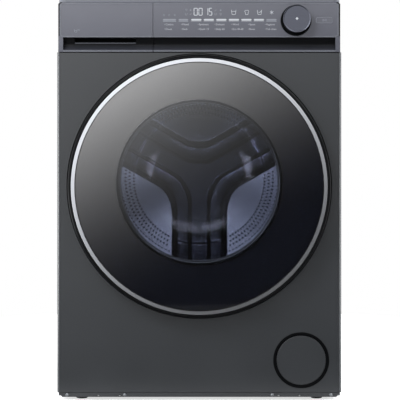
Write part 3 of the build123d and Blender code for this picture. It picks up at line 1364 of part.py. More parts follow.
ROTOR_RIM = 150.0
with BuildPart() as motor_rotor:
    turned(
        [
            (HUB_FACE - 3, ROTOR_RIM - 9),
            (HUB_FACE - 3, ROTOR_RIM),
            (ROTOR_SEAT + 3.8, ROTOR_RIM),
            (ROTOR_SEAT + 3.8, 60),
            (ROTOR_SEAT + GAP + 4, 30),
            (ROTOR_SEAT + GAP + 4, 10 + RUN),
            (ROTOR_SEAT + GAP, 10 + RUN),
            (ROTOR_SEAT + GAP, ROTOR_RIM - 9),
        ]
    )
    for i in range(6):
        with BuildSketch(facing(ROTOR_SEAT - 1)) as opening:
            with Locations(Pos(0, DRUM_Z) * Rot(0, 0, 60 * i) * Pos(88, 0)):
                SlotOverall(56, 26)
        extrude(opening.sketch, amount=-10, mode=Mode.SUBTRACT)
save(motor_rotor.part, "motor_rotor")

# ================================================================ pump and filter
PUMP_FRONT = F + 18.0
PUMP_BORE = 33.0
PUMP_BORE_END = F + 98.0
CHAMBER_END = F + 120.0
CHAMBER = 30.0
PUMP_OUTER = 38.0
PUMP_MOTOR_END = F + 172.0
IMPELLER_SHAFT = 3.0
OUTLET_Y0 = F + 109.0
with BuildPart() as drain_pump:
    ring(FILTER_X, FILTER_Z, PUMP_FRONT, CHAMBER_END, PUMP_OUTER)
    ring(FILTER_X, FILTER_Z, CHAMBER_END, PUMP_MOTOR_END, 28)
    with BuildSketch(Plane.YZ.offset(155)) as inlet:
        with Locations((SUMP_Y, FILTER_Z)):
            Circle(SUMP_RADIUS)
    extrude(inlet.sketch, amount=FILTER_X - 155)
    with BuildSketch(Plane.YZ.offset(FILTER_X)) as outlet:
        with Locations((OUTLET_Y0, FILTER_Z)):
            Circle(9.0)
    extrude(outlet.sketch, amount=45)
    # legs down to the base
    for x in (FILTER_X - 30, FILTER_X + 22):
        box((x, F + 72, BASE_TOP + GAP), (x + 8, CHAMBER_END - 8, FILTER_Z - 20))
    ring(
        FILTER_X, FILTER_Z, PUMP_FRONT - 1, PUMP_BORE_END, PUMP_BORE, mode=Mode.SUBTRACT
    )
    ring(
        FILTER_X, FILTER_Z, PUMP_BORE_END - 1, CHAMBER_END - 4, CHAMBER, mode=Mode.SUBTRACT
    )
    ring(
        FILTER_X, FILTER_Z, CHAMBER_END - 5, CHAMBER_END + 12, IMPELLER_SHAFT + RUN,
        mode=Mode.SUBTRACT,
    )
    with BuildSketch(Plane.YZ.offset(154)) as inlet_bore:
        with Locations((SUMP_Y, FILTER_Z)):
            Circle(SUMP_RADIUS - 3)
    extrude(inlet_bore.sketch, amount=FILTER_X - 154, mode=Mode.SUBTRACT)
    with BuildSketch(Plane.YZ.offset(FILTER_X)) as outlet_bore:
        with Locations((OUTLET_Y0, FILTER_Z)):
            Circle(6.5)
    extrude(outlet_bore.sketch, amount=60, mode=Mode.SUBTRACT)
save(drain_pump.part, "drain_pump")

with BuildPart() as pump_impeller:
    ring(FILTER_X, FILTER_Z, CHAMBER_END - 7, CHAMBER_END + 10, IMPELLER_SHAFT)
    ring(FILTER_X, FILTER_Z, CHAMBER_END - 16, CHAMBER_END - 5, 7)
    with BuildSketch(facing(CHAMBER_END - 16)) as blades:
        with Locations((FILTER_X, FILTER_Z)):
            for i in range(4):
                with Locations(Location((0, 0, 0), (0, 0, 90 * i))):
                    Polygon((0, -1.5), (24, -1.5), (24, 1.5), (0, 1.5), align=None)
    extrude(blades.sketch, amount=-10)
save(pump_impeller.part, "pump_impeller")

PLUG_FRONT = F + 14.0
PLUG_LENGTH = 30.0
FILTER_END = PUMP_BORE_END - 3
with BuildPart() as pump_filter:
    ring(FILTER_X, FILTER_Z, PLUG_FRONT, PUMP_FRONT, PUMP_OUTER - 1)
    ring(FILTER_X, FILTER_Z, PUMP_FRONT - 1, PLUG_FRONT + PLUG_LENGTH, PUMP_BORE - RUN)
    # grip across the front
    box(
        (FILTER_X - 30, F + 4.5, FILTER_Z - 3.5),
        (FILTER_X + 30, PLUG_FRONT + 0.5, FILTER_Z + 3.5),
    )
    # basket: rings on ribs, open between them
    ring(FILTER_X, FILTER_Z, FILTER_END - 3, FILTER_END, 28, 15)
    for i in range(8):
        with BuildSketch(facing(PLUG_FRONT + PLUG_LENGTH - 1)) as rib:
            with Locations(Pos(FILTER_X, FILTER_Z) * Rot(0, 0, 45 * i + 22.5) * Pos(25, 0)):
                Rectangle(5, 2.4)
        extrude(rib.sketch, amount=-(FILTER_END - PLUG_FRONT - PLUG_LENGTH))
save(pump_filter.part, "pump_filter")

COVER_FRONT = F - 1.0
COVER_BACK = F + 2.0
FRAME_BORE = 52.4
FRAME_LIP = 0.6
with BuildPart() as filter_frame:
    # a flat bezel, a collar through the panel's hole and a flange behind it
    ring(FILTER_X, FILTER_Z, F - FRAME_LIP, F + 12, FILTER_HOLE - 0.2, FRAME_BORE)
    ring(FILTER_X, FILTER_Z, F + SHEET + GAP, F + 4, FILTER_HOLE + 6, FRAME_BORE)
    # stop ring the cover rests on
    ring(FILTER_X, FILTER_Z, F + 6.5, F + 9, FILTER_HOLE - 1, 45)
save(filter_frame.part, "filter_frame")

with BuildPart() as filter_cover:
    ring(FILTER_X, FILTER_Z, COVER_FRONT, COVER_BACK, FILTER_COVER_RADIUS)
    fillet(filter_cover.faces().sort_by(Axis.Y)[0].edges(), 1.0)
    ring(FILTER_X, FILTER_Z, COVER_BACK - 0.5, F + 6.2, FILTER_COVER_RADIUS - 0.8, 48)
    # spring tongues that hold it in the stop ring
    for i in range(4):
        with BuildSketch(facing(F + 5)) as tongue:
            with Locations(Pos(FILTER_X, FILTER_Z) * Rot(0, 0, 90 * i + 45) * Pos(46.2, 0)):
                Rectangle(5.0, 14)
            with Locations((FILTER_X, FILTER_Z)):
                Circle(44.6, mode=Mode.INTERSECT)
        extrude(tongue.sketch, amount=-6)
        with BuildSketch(facing(F + 2)) as root:
            with Locations(Pos(FILTER_X, FILTER_Z) * Rot(0, 0, 90 * i + 45) * Pos(46.2, 0)):
                Rectangle(5.2, 14)
        extrude(root.sketch, amount=-3.6)
save(filter_cover.part, "filter_cover")

# ---------------------------------------------------------------- hoses
HOSE_OVER = 0.2              # slip of a hose over its spigot


def bent_hose(points, outer, inner, bend):
    """A hose round a path with rounded corners, hollow from end to end."""
    with BuildLine() as run:
        FilletPolyline(*points, radius=bend)
    direction = Vector(*points[1]) - Vector(*points[0])
    start = Plane(origin=points[0], z_dir=direction)
    solids = []
    for radius in (outer, inner):
        with BuildSketch(start) as section:
            Circle(radius)
        solids.append(sweep(section.sketch, path=run.wire(), mode=Mode.PRIVATE))
    return solids[0] - solids[1]


with BuildPart() as sump_hose:
    add(
        bent_hose(
            [
                (SUMP_X, SUMP_Y, DRUM_Z - TUB_OUTER - 9),
                (SUMP_X, SUMP_Y, FILTER_Z),
                (172, SUMP_Y, FILTER_Z),
            ],
            SUMP_RADIUS + 3,
            SUMP_RADIUS + HOSE_OVER,
            30,
        )
    )
save(sump_hose.part, "sump_hose")

with BuildPart() as dispenser_hose:
    hose_top = CONSOLE_BOTTOM + 3.5
    hose_bottom = DRUM_Z + sqrt(TUB_OUTER**2 - (abs(OUTLET_X) - 20) ** 2) + 1
    tube(
        OUTLET_X, OUTLET_Y, hose_bottom, hose_top,
        OUTLET_RADIUS + 3, OUTLET_RADIUS + HOSE_OVER,
    )
    for step in (6, 14, 22):
        tube(
            OUTLET_X, OUTLET_Y, hose_bottom + step, hose_bottom + step + 4,
            OUTLET_RADIUS + 6, OUTLET_RADIUS + 2,
        )
save(dispenser_hose.part, "dispenser_hose")

HOSE_X = HALF - 24.0
HOSE_Y = 262.0
with BuildPart() as water_hoses:
    ring(INLET_X, INLET_Z, HOUSING_BACK + 3, VALVE_FRONT - 2, 9.0, 6.5 + HOSE_OVER)
    add(
        bent_hose(
            [
                (FILTER_X + 39, OUTLET_Y0, FILTER_Z),
                (HOSE_X, OUTLET_Y0, FILTER_Z),
                (HOSE_X, HOSE_Y, FILTER_Z),
                (HOSE_X, HOSE_Y, DRAIN_Z),
                (DRAIN_X, HOSE_Y, DRAIN_Z),
                (DRAIN_X, BACK - 2, DRAIN_Z),
            ],
            11.5,
            DRAIN_TAIL + HOSE_OVER,
            16,
        )
    )
save(water_hoses.part, "water_hoses")
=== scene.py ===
import json
import math

import bmesh
import bpy
import numpy as np
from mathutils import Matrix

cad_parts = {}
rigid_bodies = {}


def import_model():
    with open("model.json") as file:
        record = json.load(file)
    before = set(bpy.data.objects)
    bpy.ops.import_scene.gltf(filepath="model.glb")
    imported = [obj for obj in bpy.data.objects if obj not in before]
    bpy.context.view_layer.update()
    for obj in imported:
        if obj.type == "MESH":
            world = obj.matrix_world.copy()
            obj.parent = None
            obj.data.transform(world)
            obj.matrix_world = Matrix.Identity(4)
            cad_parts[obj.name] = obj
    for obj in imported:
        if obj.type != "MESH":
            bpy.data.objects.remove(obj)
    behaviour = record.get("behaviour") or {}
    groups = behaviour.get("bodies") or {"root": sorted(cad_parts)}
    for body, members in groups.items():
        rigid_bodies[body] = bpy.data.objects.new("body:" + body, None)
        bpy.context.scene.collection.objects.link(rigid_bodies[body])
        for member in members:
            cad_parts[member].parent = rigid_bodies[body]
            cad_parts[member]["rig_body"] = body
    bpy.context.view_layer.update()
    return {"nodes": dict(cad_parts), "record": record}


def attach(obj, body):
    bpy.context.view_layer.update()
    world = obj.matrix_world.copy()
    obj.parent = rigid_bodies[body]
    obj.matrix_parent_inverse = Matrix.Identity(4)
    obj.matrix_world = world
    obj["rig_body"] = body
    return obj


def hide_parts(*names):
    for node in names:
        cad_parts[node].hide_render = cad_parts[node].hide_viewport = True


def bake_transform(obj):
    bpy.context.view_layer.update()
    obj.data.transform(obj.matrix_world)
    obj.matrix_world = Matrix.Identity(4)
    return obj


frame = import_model()

# Metres, in the model's own frame: +X is the machine's right seen from the
# front, +Y runs back, +Z is up, and the floor is at Z 0.
MM = 0.001
FRONT = -258 * MM            # plane of the front panel
CONSOLE_FACE = -260 * MM
DOOR_Z = 452 * MM            # height of the door's middle
DRUM_Z = 460 * MM            # height of the drum's axis


# ---------------------------------------------------------------- tools
def linear(hex_colour):
    """The linear RGBA of an sRGB colour written as six hex digits."""
    srgb = np.array([int(hex_colour[i:i + 2], 16) for i in (0, 2, 4)]) / 255
    rgb = np.where(srgb <= 0.04045, srgb / 12.92, ((srgb + 0.055) / 1.055) ** 2.4)
    return (*rgb.tolist(), 1.0)


def add(tree, kind, inputs=(), **settings):
    """One shader node: settings go on the node, inputs are values or links."""
    node = tree.nodes.new("ShaderNode" + kind)
    for name, value in settings.items():
        setattr(node, name, value)
    for key, value in dict(inputs).items():
        if isinstance(value, bpy.types.NodeSocket):
            tree.links.new(value, node.inputs[key])
        else:
            node.inputs[key].default_value = value
    return node


FACTOR, COLOUR_A, COLOUR_B = 0, 6, 7     # sockets of a Mix node set to colours
MIXED = 2                                # and its colour output


def new_finish(name):
    """A material: returns it, its tree, its shader and its object coordinates."""
    material = bpy.data.materials.new(name)
    material.use_nodes = True
    tree = material.node_tree
    shader = tree.nodes["Principled BSDF"]
    return material, tree, shader, add(tree, "TexCoord").outputs["Object"]


def tinted(tree, shader, colour, pattern, least, rise):
    """Makes a shader's base colour: colour times least + rise * pattern."""
    tone = add(tree, "Math", {0: pattern, 1: rise, 2: least}, operation="MULTIPLY_ADD")
    body = add(tree, "Mix", {FACTOR: 1.0, COLOUR_A: linear(colour), COLOUR_B: tone.outputs[0]},
               data_type="RGBA", blend_type="MULTIPLY")
    tree.links.new(body.outputs[MIXED], shader.inputs["Base Color"])


def worn(tree, shader, pattern, roughness, spread):
    """Makes a shader's roughness vary by spread about roughness, as a pattern
    runs from 0 to 1."""
    gloss = add(tree, "Math", {0: pattern, 1: spread, 2: roughness - spread / 2}, operation="MULTIPLY_ADD")
    tree.links.new(gloss.outputs[0], shader.inputs["Roughness"])


def relief(tree, shader, pattern, depth):
    """Bumps a shader: depth metres from where a pattern is 0 to where it is 1."""
    bump = add(tree, "Bump", {"Height": pattern, "Distance": depth, "Strength": 1.0})
    tree.links.new(bump.outputs["Normal"], shader.inputs["Normal"])


# ---------------------------------------------------------------- finishes
def powder_coat(name, colour, peel=2.2, fleck=1.1, roughness=0.42):
    """Powder coat on sheet steel: a satin skin with a soft orange peel, and mica
    flecks that make the flat panels look grained close to.

    peel and fleck are the sizes of both patterns in millimetres. The flecks of
    a real coat are 0.1 mm, and are drawn coarser so that they show.
    """
    material, tree, shader, place = new_finish(name)
    cells = add(tree, "TexVoronoi", {"Vector": place, "Scale": 1 / (fleck * MM)})
    cloud = add(tree, "TexNoise", {"Vector": place, "Scale": 1 / (90 * MM), "Detail": 3.0})
    ripple = add(tree, "TexNoise", {"Vector": place, "Scale": 1 / (peel * MM), "Detail": 1.0})
    mica = add(tree, "Math", {0: cells.outputs["Color"], 1: 0.22, 2: 0.80}, operation="MULTIPLY_ADD")
    tinted(tree, shader, colour, cloud.outputs["Fac"], mica.outputs[0], 0.16)
    worn(tree, shader, cloud.outputs["Fac"], roughness, 0.10)
    relief(tree, shader, ripple.outputs["Fac"], 0.02 * MM)
    return material


def moulded_plastic(name, colour, grain=0.9, depth=0.02, roughness=0.45, drift=0.06, specular=0.5):
    """Injection-moulded ABS or polypropylene: an even colour with a faint flow
    mottle and the fine spark-eroded grain of the mould.

    grain is the grain's size and depth its height, in millimetres, and specular
    how strongly its skin mirrors, 0.5 being bare plastic.
    """
    material, tree, shader, place = new_finish(name)
    flow = add(tree, "TexNoise", {"Vector": place, "Scale": 1 / (35 * MM), "Detail": 4.0})
    pits = add(tree, "TexNoise", {"Vector": place, "Scale": 1 / (grain * MM), "Detail": 2.0})
    tinted(tree, shader, colour, flow.outputs["Fac"], 1 - drift, 2 * drift)
    worn(tree, shader, pits.outputs["Fac"], roughness, 0.14)
    relief(tree, shader, pits.outputs["Fac"], depth * MM)
    shader.inputs["Specular IOR Level"].default_value = specular
    return material


def fired_print(name, colour):
    """Black ceramic ink fired flat against the back of float glass: it has no
    grain of its own and mirrors like the glass before it, deep and cool."""
    material, tree, shader, place = new_finish(name)
    flow = add(tree, "TexNoise", {"Vector": place, "Scale": 1 / (35 * MM), "Detail": 4.0})
    tinted(tree, shader, colour, flow.outputs["Fac"], 0.94, 0.12)
    shader.inputs["Roughness"].default_value = 0.05
    shader.inputs["IOR"].default_value = 1.95
    return material


def zinc_sheet(name, colour, spangle=9.0):
    """Hot-dip galvanised steel: overlapping crystal spangles, each a slightly
    different grey and gloss, as large as spangle in millimetres."""
    material, tree, shader, place = new_finish(name)
    warp = add(tree, "TexNoise", {"Vector": place, "Scale": 1 / (6 * MM), "Detail": 2.0})
    bent = add(tree, "VectorMath", {0: place, 1: warp.outputs["Color"], 2: (2 * MM,) * 3},
               operation="MULTIPLY_ADD")
    crystals = add(tree, "TexVoronoi", {"Vector": bent.outputs[0], "Scale": 1 / (spangle * MM)})
    tinted(tree, shader, colour, crystals.outputs["Color"], 0.78, 0.30)
    worn(tree, shader, crystals.outputs["Color"], 0.44, 0.20)
    relief(tree, shader, crystals.outputs["Distance"], 0.01 * MM)
    shader.inputs["Metallic"].default_value = 0.75
    return material


def drawn_metal(name, colour, axis, scratch=0.7, roughness=0.28, depth=0.004, contrast=0.16):
    """Bare metal with the fine lines of drawing, turning or brushing.

    axis is the direction the lines run in, 0 to 2 for X to Z, or 3 for rings
    about the front-to-back axis through the drum. scratch is their spacing in
    millimetres, real lines being about a tenth of that.
    """
    material, tree, shader, place = new_finish(name)
    fine = {"Scale": 1 / (scratch * MM), "Detail": 2.0}
    if axis == 3:
        middle = add(tree, "Mapping", {"Vector": place, "Location": (0, 0, -DRUM_Z), "Scale": (1, 0, 1)})
        radius = add(tree, "VectorMath", {0: middle.outputs[0]}, operation="LENGTH")
        lines = add(tree, "TexNoise", {"W": radius.outputs["Value"], **fine}, noise_dimensions="1D")
    else:
        stretch = [1.0, 1.0, 1.0]
        stretch[axis] = 0.02
        along = add(tree, "Mapping", {"Vector": place, "Scale": tuple(stretch)})
        lines = add(tree, "TexNoise", {"Vector": along.outputs[0], **fine})
    tinted(tree, shader, colour, lines.outputs["Fac"], 1 - contrast, 2 * contrast)
    worn(tree, shader, lines.outputs["Fac"], roughness, 0.16)
    relief(tree, shader, lines.outputs["Fac"], depth * MM)
    shader.inputs["Metallic"].default_value = 1.0
    return material


def turned_steel(name, colour, roughness):
    """Stainless sheet turned on a lathe: rings too fine to see, which stretch each
    highlight outward into a bright fan, over a faint change of tone by radius."""
    material = drawn_metal(name, colour, axis=3, scratch=4.0, roughness=roughness, depth=0.0, contrast=0.03)
    tree = material.node_tree
    shader = tree.nodes["Principled BSDF"]
    shader.inputs["Anisotropic"].default_value = 0.85
    shader.inputs["Anisotropic Rotation"].default_value = 0.25
    about = add(tree, "Tangent", direction_type="RADIAL", axis="Y")
    tree.links.new(about.outputs[0], shader.inputs["Tangent"])
    return material


def cast_surface(name, colour, grit=3.0, depth=0.25, roughness=0.72, metallic=0.0):
    """Rough-cast iron, concrete or sand-cast alloy: pits and lumps of the sand,
    grit millimetres apart, darker in their low places and in broad patches."""
    material, tree, shader, place = new_finish(name)
    lumps = add(tree, "TexNoise", {"Vector": place, "Scale": 1 / (grit * MM), "Detail": 6.0,
                                   "Roughness": 0.65})
    stain = add(tree, "TexNoise", {"Vector": place, "Scale": 1 / (60 * MM), "Detail": 3.0})
    both = add(tree, "Math", {0: lumps.outputs["Fac"], 1: stain.outputs["Fac"]}, operation="ADD")
    tinted(tree, shader, colour, both.outputs[0], 0.42, 0.55)
    worn(tree, shader, lumps.outputs["Fac"], roughness, 0.20)
    relief(tree, shader, lumps.outputs["Fac"], depth * MM)
    shader.inputs["Metallic"].default_value = metallic
    return material


def rubber(name, colour, bloom=0.05, roughness=0.62):
    """Moulded EPDM rubber: nearly black or grey, matt, with a pale bloom that
    gathers in cloudy patches about 20 mm across."""
    material, tree, shader, place = new_finish(name)
    cloud = add(tree, "TexNoise", {"Vector": place, "Scale": 1 / (20 * MM), "Detail": 5.0})
    skin = add(tree, "TexNoise", {"Vector": place, "Scale": 1 / (1.2 * MM), "Detail": 2.0})
    share = add(tree, "Math", {0: cloud.outputs["Fac"], 1: bloom}, operation="MULTIPLY")
    pale = add(tree, "Mix", {FACTOR: share.outputs[0], COLOUR_A: linear(colour), COLOUR_B: linear("8a8c8e")},
               data_type="RGBA")
    tree.links.new(pale.outputs[MIXED], shader.inputs["Base Color"])
    worn(tree, shader, skin.outputs["Fac"], roughness, 0.16)
    relief(tree, shader, skin.outputs["Fac"], 0.03 * MM)
    return material


def clear_glass(name, tint, mirror=1.0, most=1.0, roughness=0.02):
    """Toughened glass, float or pressed: what is behind shows through its tint,
    and its polished face mirrors the room by Fresnel. It bends nothing, as a
    thin pane does not, so that the lamps light what is behind it.

    mirror is how much stronger a coated face mirrors than bare glass, and most
    the largest share that it mirrors where it is seen edge on.
    """
    material, tree, shader, place = new_finish(name)
    tree.nodes.remove(shader)
    wavy = add(tree, "TexNoise", {"Vector": place, "Scale": 1 / (120 * MM), "Detail": 1.0})
    bump = add(tree, "Bump", {"Height": wavy.outputs["Fac"], "Distance": 0.02 * MM, "Strength": 1.0})
    edge = add(tree, "Fresnel", {"IOR": 1.52, "Normal": bump.outputs["Normal"]})
    share = add(tree, "Math", {0: edge.outputs[0], 1: mirror}, operation="MULTIPLY")
    share = add(tree, "Math", {0: share.outputs[0], 1: most}, operation="MINIMUM")
    dust = add(tree, "Math", {0: wavy.outputs["Fac"], 1: roughness, 2: roughness / 2},
               operation="MULTIPLY_ADD")
    shine = add(tree, "BsdfAnisotropic", {"Color": (1, 1, 1, 1), "Roughness": dust.outputs[0],
                                          "Normal": bump.outputs["Normal"]})
    through = add(tree, "BsdfTransparent", {"Color": linear(tint)})
    both = add(tree, "MixShader", {0: share.outputs[0], 1: through.outputs[0], 2: shine.outputs[0]})
    tree.links.new(both.outputs[0], tree.nodes["Material Output"].inputs["Surface"])
    return material


def windowed(material, radius, ease):
    """Leaves a glass as it is inside a circle about the drum's axis and turns it
    clear outside, where the print fired on its back mirrors for both."""
    tree = material.node_tree
    place = add(tree, "SeparateXYZ", {0: add(tree, "TexCoord").outputs["Object"]})
    flat = add(tree, "CombineXYZ", {0: place.outputs["X"], 2: place.outputs["Z"]})
    reach = add(tree, "VectorMath", {0: flat.outputs[0], 1: (0.0, 0.0, DRUM_Z)}, operation="DISTANCE")
    outside = add(tree, "MapRange", {0: reach.outputs["Value"], 1: radius, 2: radius + ease})
    sink = tree.nodes["Material Output"].inputs["Surface"]
    glass = sink.links[0].from_socket
    bare = add(tree, "BsdfTransparent", {"Color": (1, 1, 1, 1)})
    both = add(tree, "MixShader", {0: outside.outputs[0], 1: glass, 2: bare.outputs[0]})
    tree.links.new(both.outputs[0], sink)


FACE_MIDDLE = 802 * MM       # height where the console face stands upright
CROWN_RADIUS = 1.0           # how slightly it is crowned, which grades its sheen from top to foot
GROOVE_SHADE_EDGE = (765.6 * MM, 765.3 * MM)    # the grip groove's painted shade, near black, starts between these heights
GROOVE_SHADE_FADE = (752 * MM, 737 * MM)        # and is painted paler between these, towards its foot where light reaches it


def abs_with_painted_groove_shade(name, face, groove_shade, groove_lit_foot, roughness, specular):
    """Slate ABS of the console: a satin face, and the long grip groove under it
    painted near black as painted shade, darkest under the face's overhang and
    painted paler towards its foot, where light reaches it."""
    material = moulded_plastic(name, face, grain=0.8, depth=0.004, roughness=roughness, specular=specular)
    tree = material.node_tree
    shader = tree.nodes["Principled BSDF"]
    place = add(tree, "SeparateXYZ", {0: add(tree, "TexCoord").outputs["Object"]})
    deep = add(tree, "MapRange", {0: place.outputs["Y"], 1: CONSOLE_FACE + 0.3 * MM,
                                  2: CONSOLE_FACE + 0.6 * MM})
    below = add(tree, "MapRange", {0: place.outputs["Z"], 1: GROOVE_SHADE_EDGE[0], 2: GROOVE_SHADE_EDGE[1]})
    share = add(tree, "Math", {0: deep.outputs[0], 1: below.outputs[0]}, operation="MULTIPLY")
    foot = add(tree, "MapRange", {0: place.outputs["Z"], 1: GROOVE_SHADE_FADE[0], 2: GROOVE_SHADE_FADE[1]})
    cove = add(tree, "Mix", {FACTOR: foot.outputs[0], COLOUR_A: linear(groove_shade), COLOUR_B: linear(groove_lit_foot)},
               data_type="RGBA")
    tone = shader.inputs["Base Color"].links[0].from_socket
    both = add(tree, "Mix", {FACTOR: share.outputs[0], COLOUR_A: tone, COLOUR_B: cove.outputs[MIXED]},
               data_type="RGBA")
    tree.links.new(both.outputs[MIXED], shader.inputs["Base Color"])
    grain = shader.inputs["Normal"].links[0].from_socket
    above = add(tree, "Math", {0: place.outputs["Z"], 1: FACE_MIDDLE}, operation="SUBTRACT")
    fall = add(tree, "Math", {0: above.outputs[0], 1: above.outputs[0]}, operation="MULTIPLY")
    crown = add(tree, "Math", {0: fall.outputs[0], 1: -0.5 / CROWN_RADIUS}, operation="MULTIPLY")
    bowed = add(tree, "Bump", {"Height": crown.outputs[0], "Distance": 1.0, "Strength": 1.0, "Normal": grain})
    tree.links.new(bowed.outputs["Normal"], shader.inputs["Normal"])
    return material


def glowing(name, colour, strength):
    """A lit legend: light-guide polycarbonate under the fascia's skin, an even
    white with the cloudiness of its diffuser, which looks softly lit."""
    material = moulded_plastic(name, colour, grain=0.8, depth=0.002, roughness=0.30)
    shader = material.node_tree.nodes["Principled BSDF"]
    shader.inputs["Emission Color"].default_value = linear(colour)
    shader.inputs["Emission Strength"].default_value = strength
    return material


# Cabinet: dark graphite panels with a grained satin skin, under a paler worktop
# whose moulded edge looks plain beside its speckled board.
BODY_PAINT = powder_coat("graphite_powder_coat", "292c30", roughness=0.38)
WORKTOP_TRIM = moulded_plastic("worktop_trim_abs", "6c6f78", grain=1.2, roughness=0.40)
WORKTOP_BOARD = powder_coat("worktop_laminate", "5e6067", peel=3.0, fleck=1.6, roughness=0.38)
# Bare zinc inside, grey and spangled.
GALVANISED = zinc_sheet("galvanised_sheet", "a2a5a8")

# Console: a smooth slate face with a slow sheen, a key a shade lighter, a dial of dark
# brushed metal, and beads painted paler, a painted highlight on the bright line their sheen draws.
# The groove's 0c0d11 under the face and the 3a3c44 at its foot are painted shade.
FASCIA = abs_with_painted_groove_shade("slate_fascia_abs", "555762", "0c0d11", "3a3c44", roughness=0.32, specular=0.60)
BUTTON_ABS = moulded_plastic("button_abs", "5d5f69", grain=0.6, roughness=0.34)
KNOB_METAL = drawn_metal("anodised_knob_aluminium", "50525b", axis=0, roughness=0.40)
BEAD_PAINTED_PALE = moulded_plastic("satin_bead_painted_highlight", "6c6f78", grain=0.8, depth=0.003, roughness=0.26)
# Matt blacks for gaps and sunk places, both also laid as painted shade: the first on the
# strips beside the console plate and in the drum's holes, the second, which gives back
# next to nothing, across the finger slot and low beside the dial.
BLACK_ABS_AND_SHADE = moulded_plastic("black_abs", "0a0b0d", roughness=0.5, specular=0.2)
DEEP_BLACK_AND_SHADE = moulded_plastic("deep_black_abs_and_shade", "040507", roughness=0.5, specular=0.05)
# Legends: softly lit white and its dimmer half tone, and two greys of flat ink.
LIT_WHITE = glowing("lit_white_polycarbonate", "c2c6cc", 0.10)
DIM_WHITE = glowing("dim_white_polycarbonate", "878b94", 0.05)
LEGEND_INK = moulded_plastic("pale_legend_ink", "bfc2c8", grain=0.5, depth=0.002, roughness=0.5)
FAINT_INK = moulded_plastic("faint_legend_ink", "8c8f9a", grain=0.5, depth=0.002, roughness=0.5)

# Door: a smoked window that mirrors the room faintly, a cool black print round
# it with the glass's own polish, a soft silver ring, a black frame without
# glare, and behind them a nearly colourless pressed bowl with polished beads.
DOOR_GLASS = clear_glass("smoked_door_glass", "d0d2d8")
windowed(DOOR_GLASS, 172.6 * MM, 0.6 * MM)
PRINT = fired_print("black_ceramic_print", "0b0d16")
TRIM_RING = drawn_metal("satin_silver_trim", "a2a4a9", axis=3, scratch=1.2, roughness=0.38, depth=0.001,
                        contrast=0.04)
GLOSS_BLACK = moulded_plastic("gloss_black_abs", "0c0d0f", grain=2.0, depth=0.002, roughness=0.30,
                              specular=0.08)
BOWL_GLASS = clear_glass("pressed_bowl_glass", "fafbfb", mirror=0.25, most=0.10)
BEAD_STEEL = drawn_metal("polished_bead_steel", "c8cace", axis=3, scratch=1.5, roughness=0.16, depth=0.0,
                         contrast=0.03)
# Rubber: a matt dark grey boot with a pale bloom, and nearly black hoses.
GASKET = rubber("grey_epdm_gasket", "46484b", bloom=0.08)
HOSE = rubber("black_epdm_hose", "1f2022")

# Drum: a turned back that fans its highlights, a glossier pressed star on it whose
# steel is painted dark, a painted shade of the dim room it mirrors, a rolled wall
# with fine lines, and satin grey paddles.
DRUM_STEEL = turned_steel("turned_drum_steel", "9a9caa", roughness=0.34)
STAR_STEEL_PAINTED_DARK = drawn_metal("pressed_steel_painted_dark", "3e404a", axis=2, roughness=0.22, depth=0.0004,
                         contrast=0.04)
WALL_STEEL = drawn_metal("rolled_drum_steel", "a2a4ae", axis=1, roughness=0.30, depth=0.001, contrast=0.06)
LIFTER = moulded_plastic("lifter_abs", "484c52", grain=1.0, roughness=0.34)

# Works: a milky fibre-filled tub, gritty weights, a coarse alloy spider, plated
# and blackened steel, a lacquered rotor over dull stacked plates, plain moulded
# parts told apart by colour, and a green board.
TUB_PP = moulded_plastic("glass_filled_polypropylene", "b9bdba", grain=1.8, depth=0.05, drift=0.10)
CAST_WEIGHT = cast_surface("cast_concrete", "8d8a85")
SPIDER = cast_surface("cast_aluminium", "a8aaac", grit=2.0, depth=0.10, roughness=0.42, metallic=0.9)
PLATED_STEEL = drawn_metal("zinc_plated_steel", "8f9298", axis=2, roughness=0.36)
SCREW_STEEL = drawn_metal("black_zinc_screw_steel", "74777b", axis=0, roughness=0.38)
ROTOR = powder_coat("lacquered_rotor_steel", "464a50", fleck=2.0)
STATOR = drawn_metal("stator_laminations", "6f6a62", axis=0, scratch=1.0, roughness=0.46)
GREY_PP = moulded_plastic("grey_polypropylene", "80848a", grain=1.4)
WHITE_PP = moulded_plastic("white_polypropylene", "d4d7d4", grain=1.4)
BLUE_PP = moulded_plastic("blue_polypropylene", "345484", grain=1.0)
BOARD = moulded_plastic("fibreglass_circuit_board", "244e34", grain=0.5, roughness=0.30)

CAD_FINISHES = {
    "body_paint": BODY_PAINT,
    "inner_steel": GALVANISED,
    "console_plastic": FASCIA,
    "black_plastic": BLACK_ABS_AND_SHADE,
    "worktop_plastic": WORKTOP_TRIM,
    "worktop_sheet": WORKTOP_BOARD,
    "knob_metal": KNOB_METAL,
    "button_plastic": BUTTON_ABS,
    "trim_metal": TRIM_RING,
    "door_glass": DOOR_GLASS,
    "bowl_glass": BOWL_GLASS,
    "door_plastic": GLOSS_BLACK,
    "gasket_rubber": GASKET,
    "hose_rubber": HOSE,
    "drum_steel": DRUM_STEEL,
    "lifter_plastic": LIFTER,
    "tub_plastic": TUB_PP,
    "cast_weight": CAST_WEIGHT,
    "spider_aluminium": SPIDER,
    "hinge_steel": PLATED_STEEL,
    "screw_steel": SCREW_STEEL,
    "white_plastic": WHITE_PP,
    "grey_plastic": GREY_PP,
    "blue_plastic": BLUE_PP,
    "board_green": BOARD,
    "motor_steel": ROTOR,
    "stator_metal": STATOR,
}


def give(thing, material):
    """Puts one material on every face of an object."""
    if not thing.material_slots:
        thing.data.materials.append(material)
    for place in thing.material_slots:
        place.material = material


for part in frame["record"]["subparts"]:
    give(frame["nodes"][part["node"]], CAD_FINISHES[part["material_slot"]])


# ---------------------------------------------------------------- shapes
def circle(steps):
    """Even steps round a circle, as angles."""
    return np.linspace(0, 2 * math.pi, steps, endpoint=False)


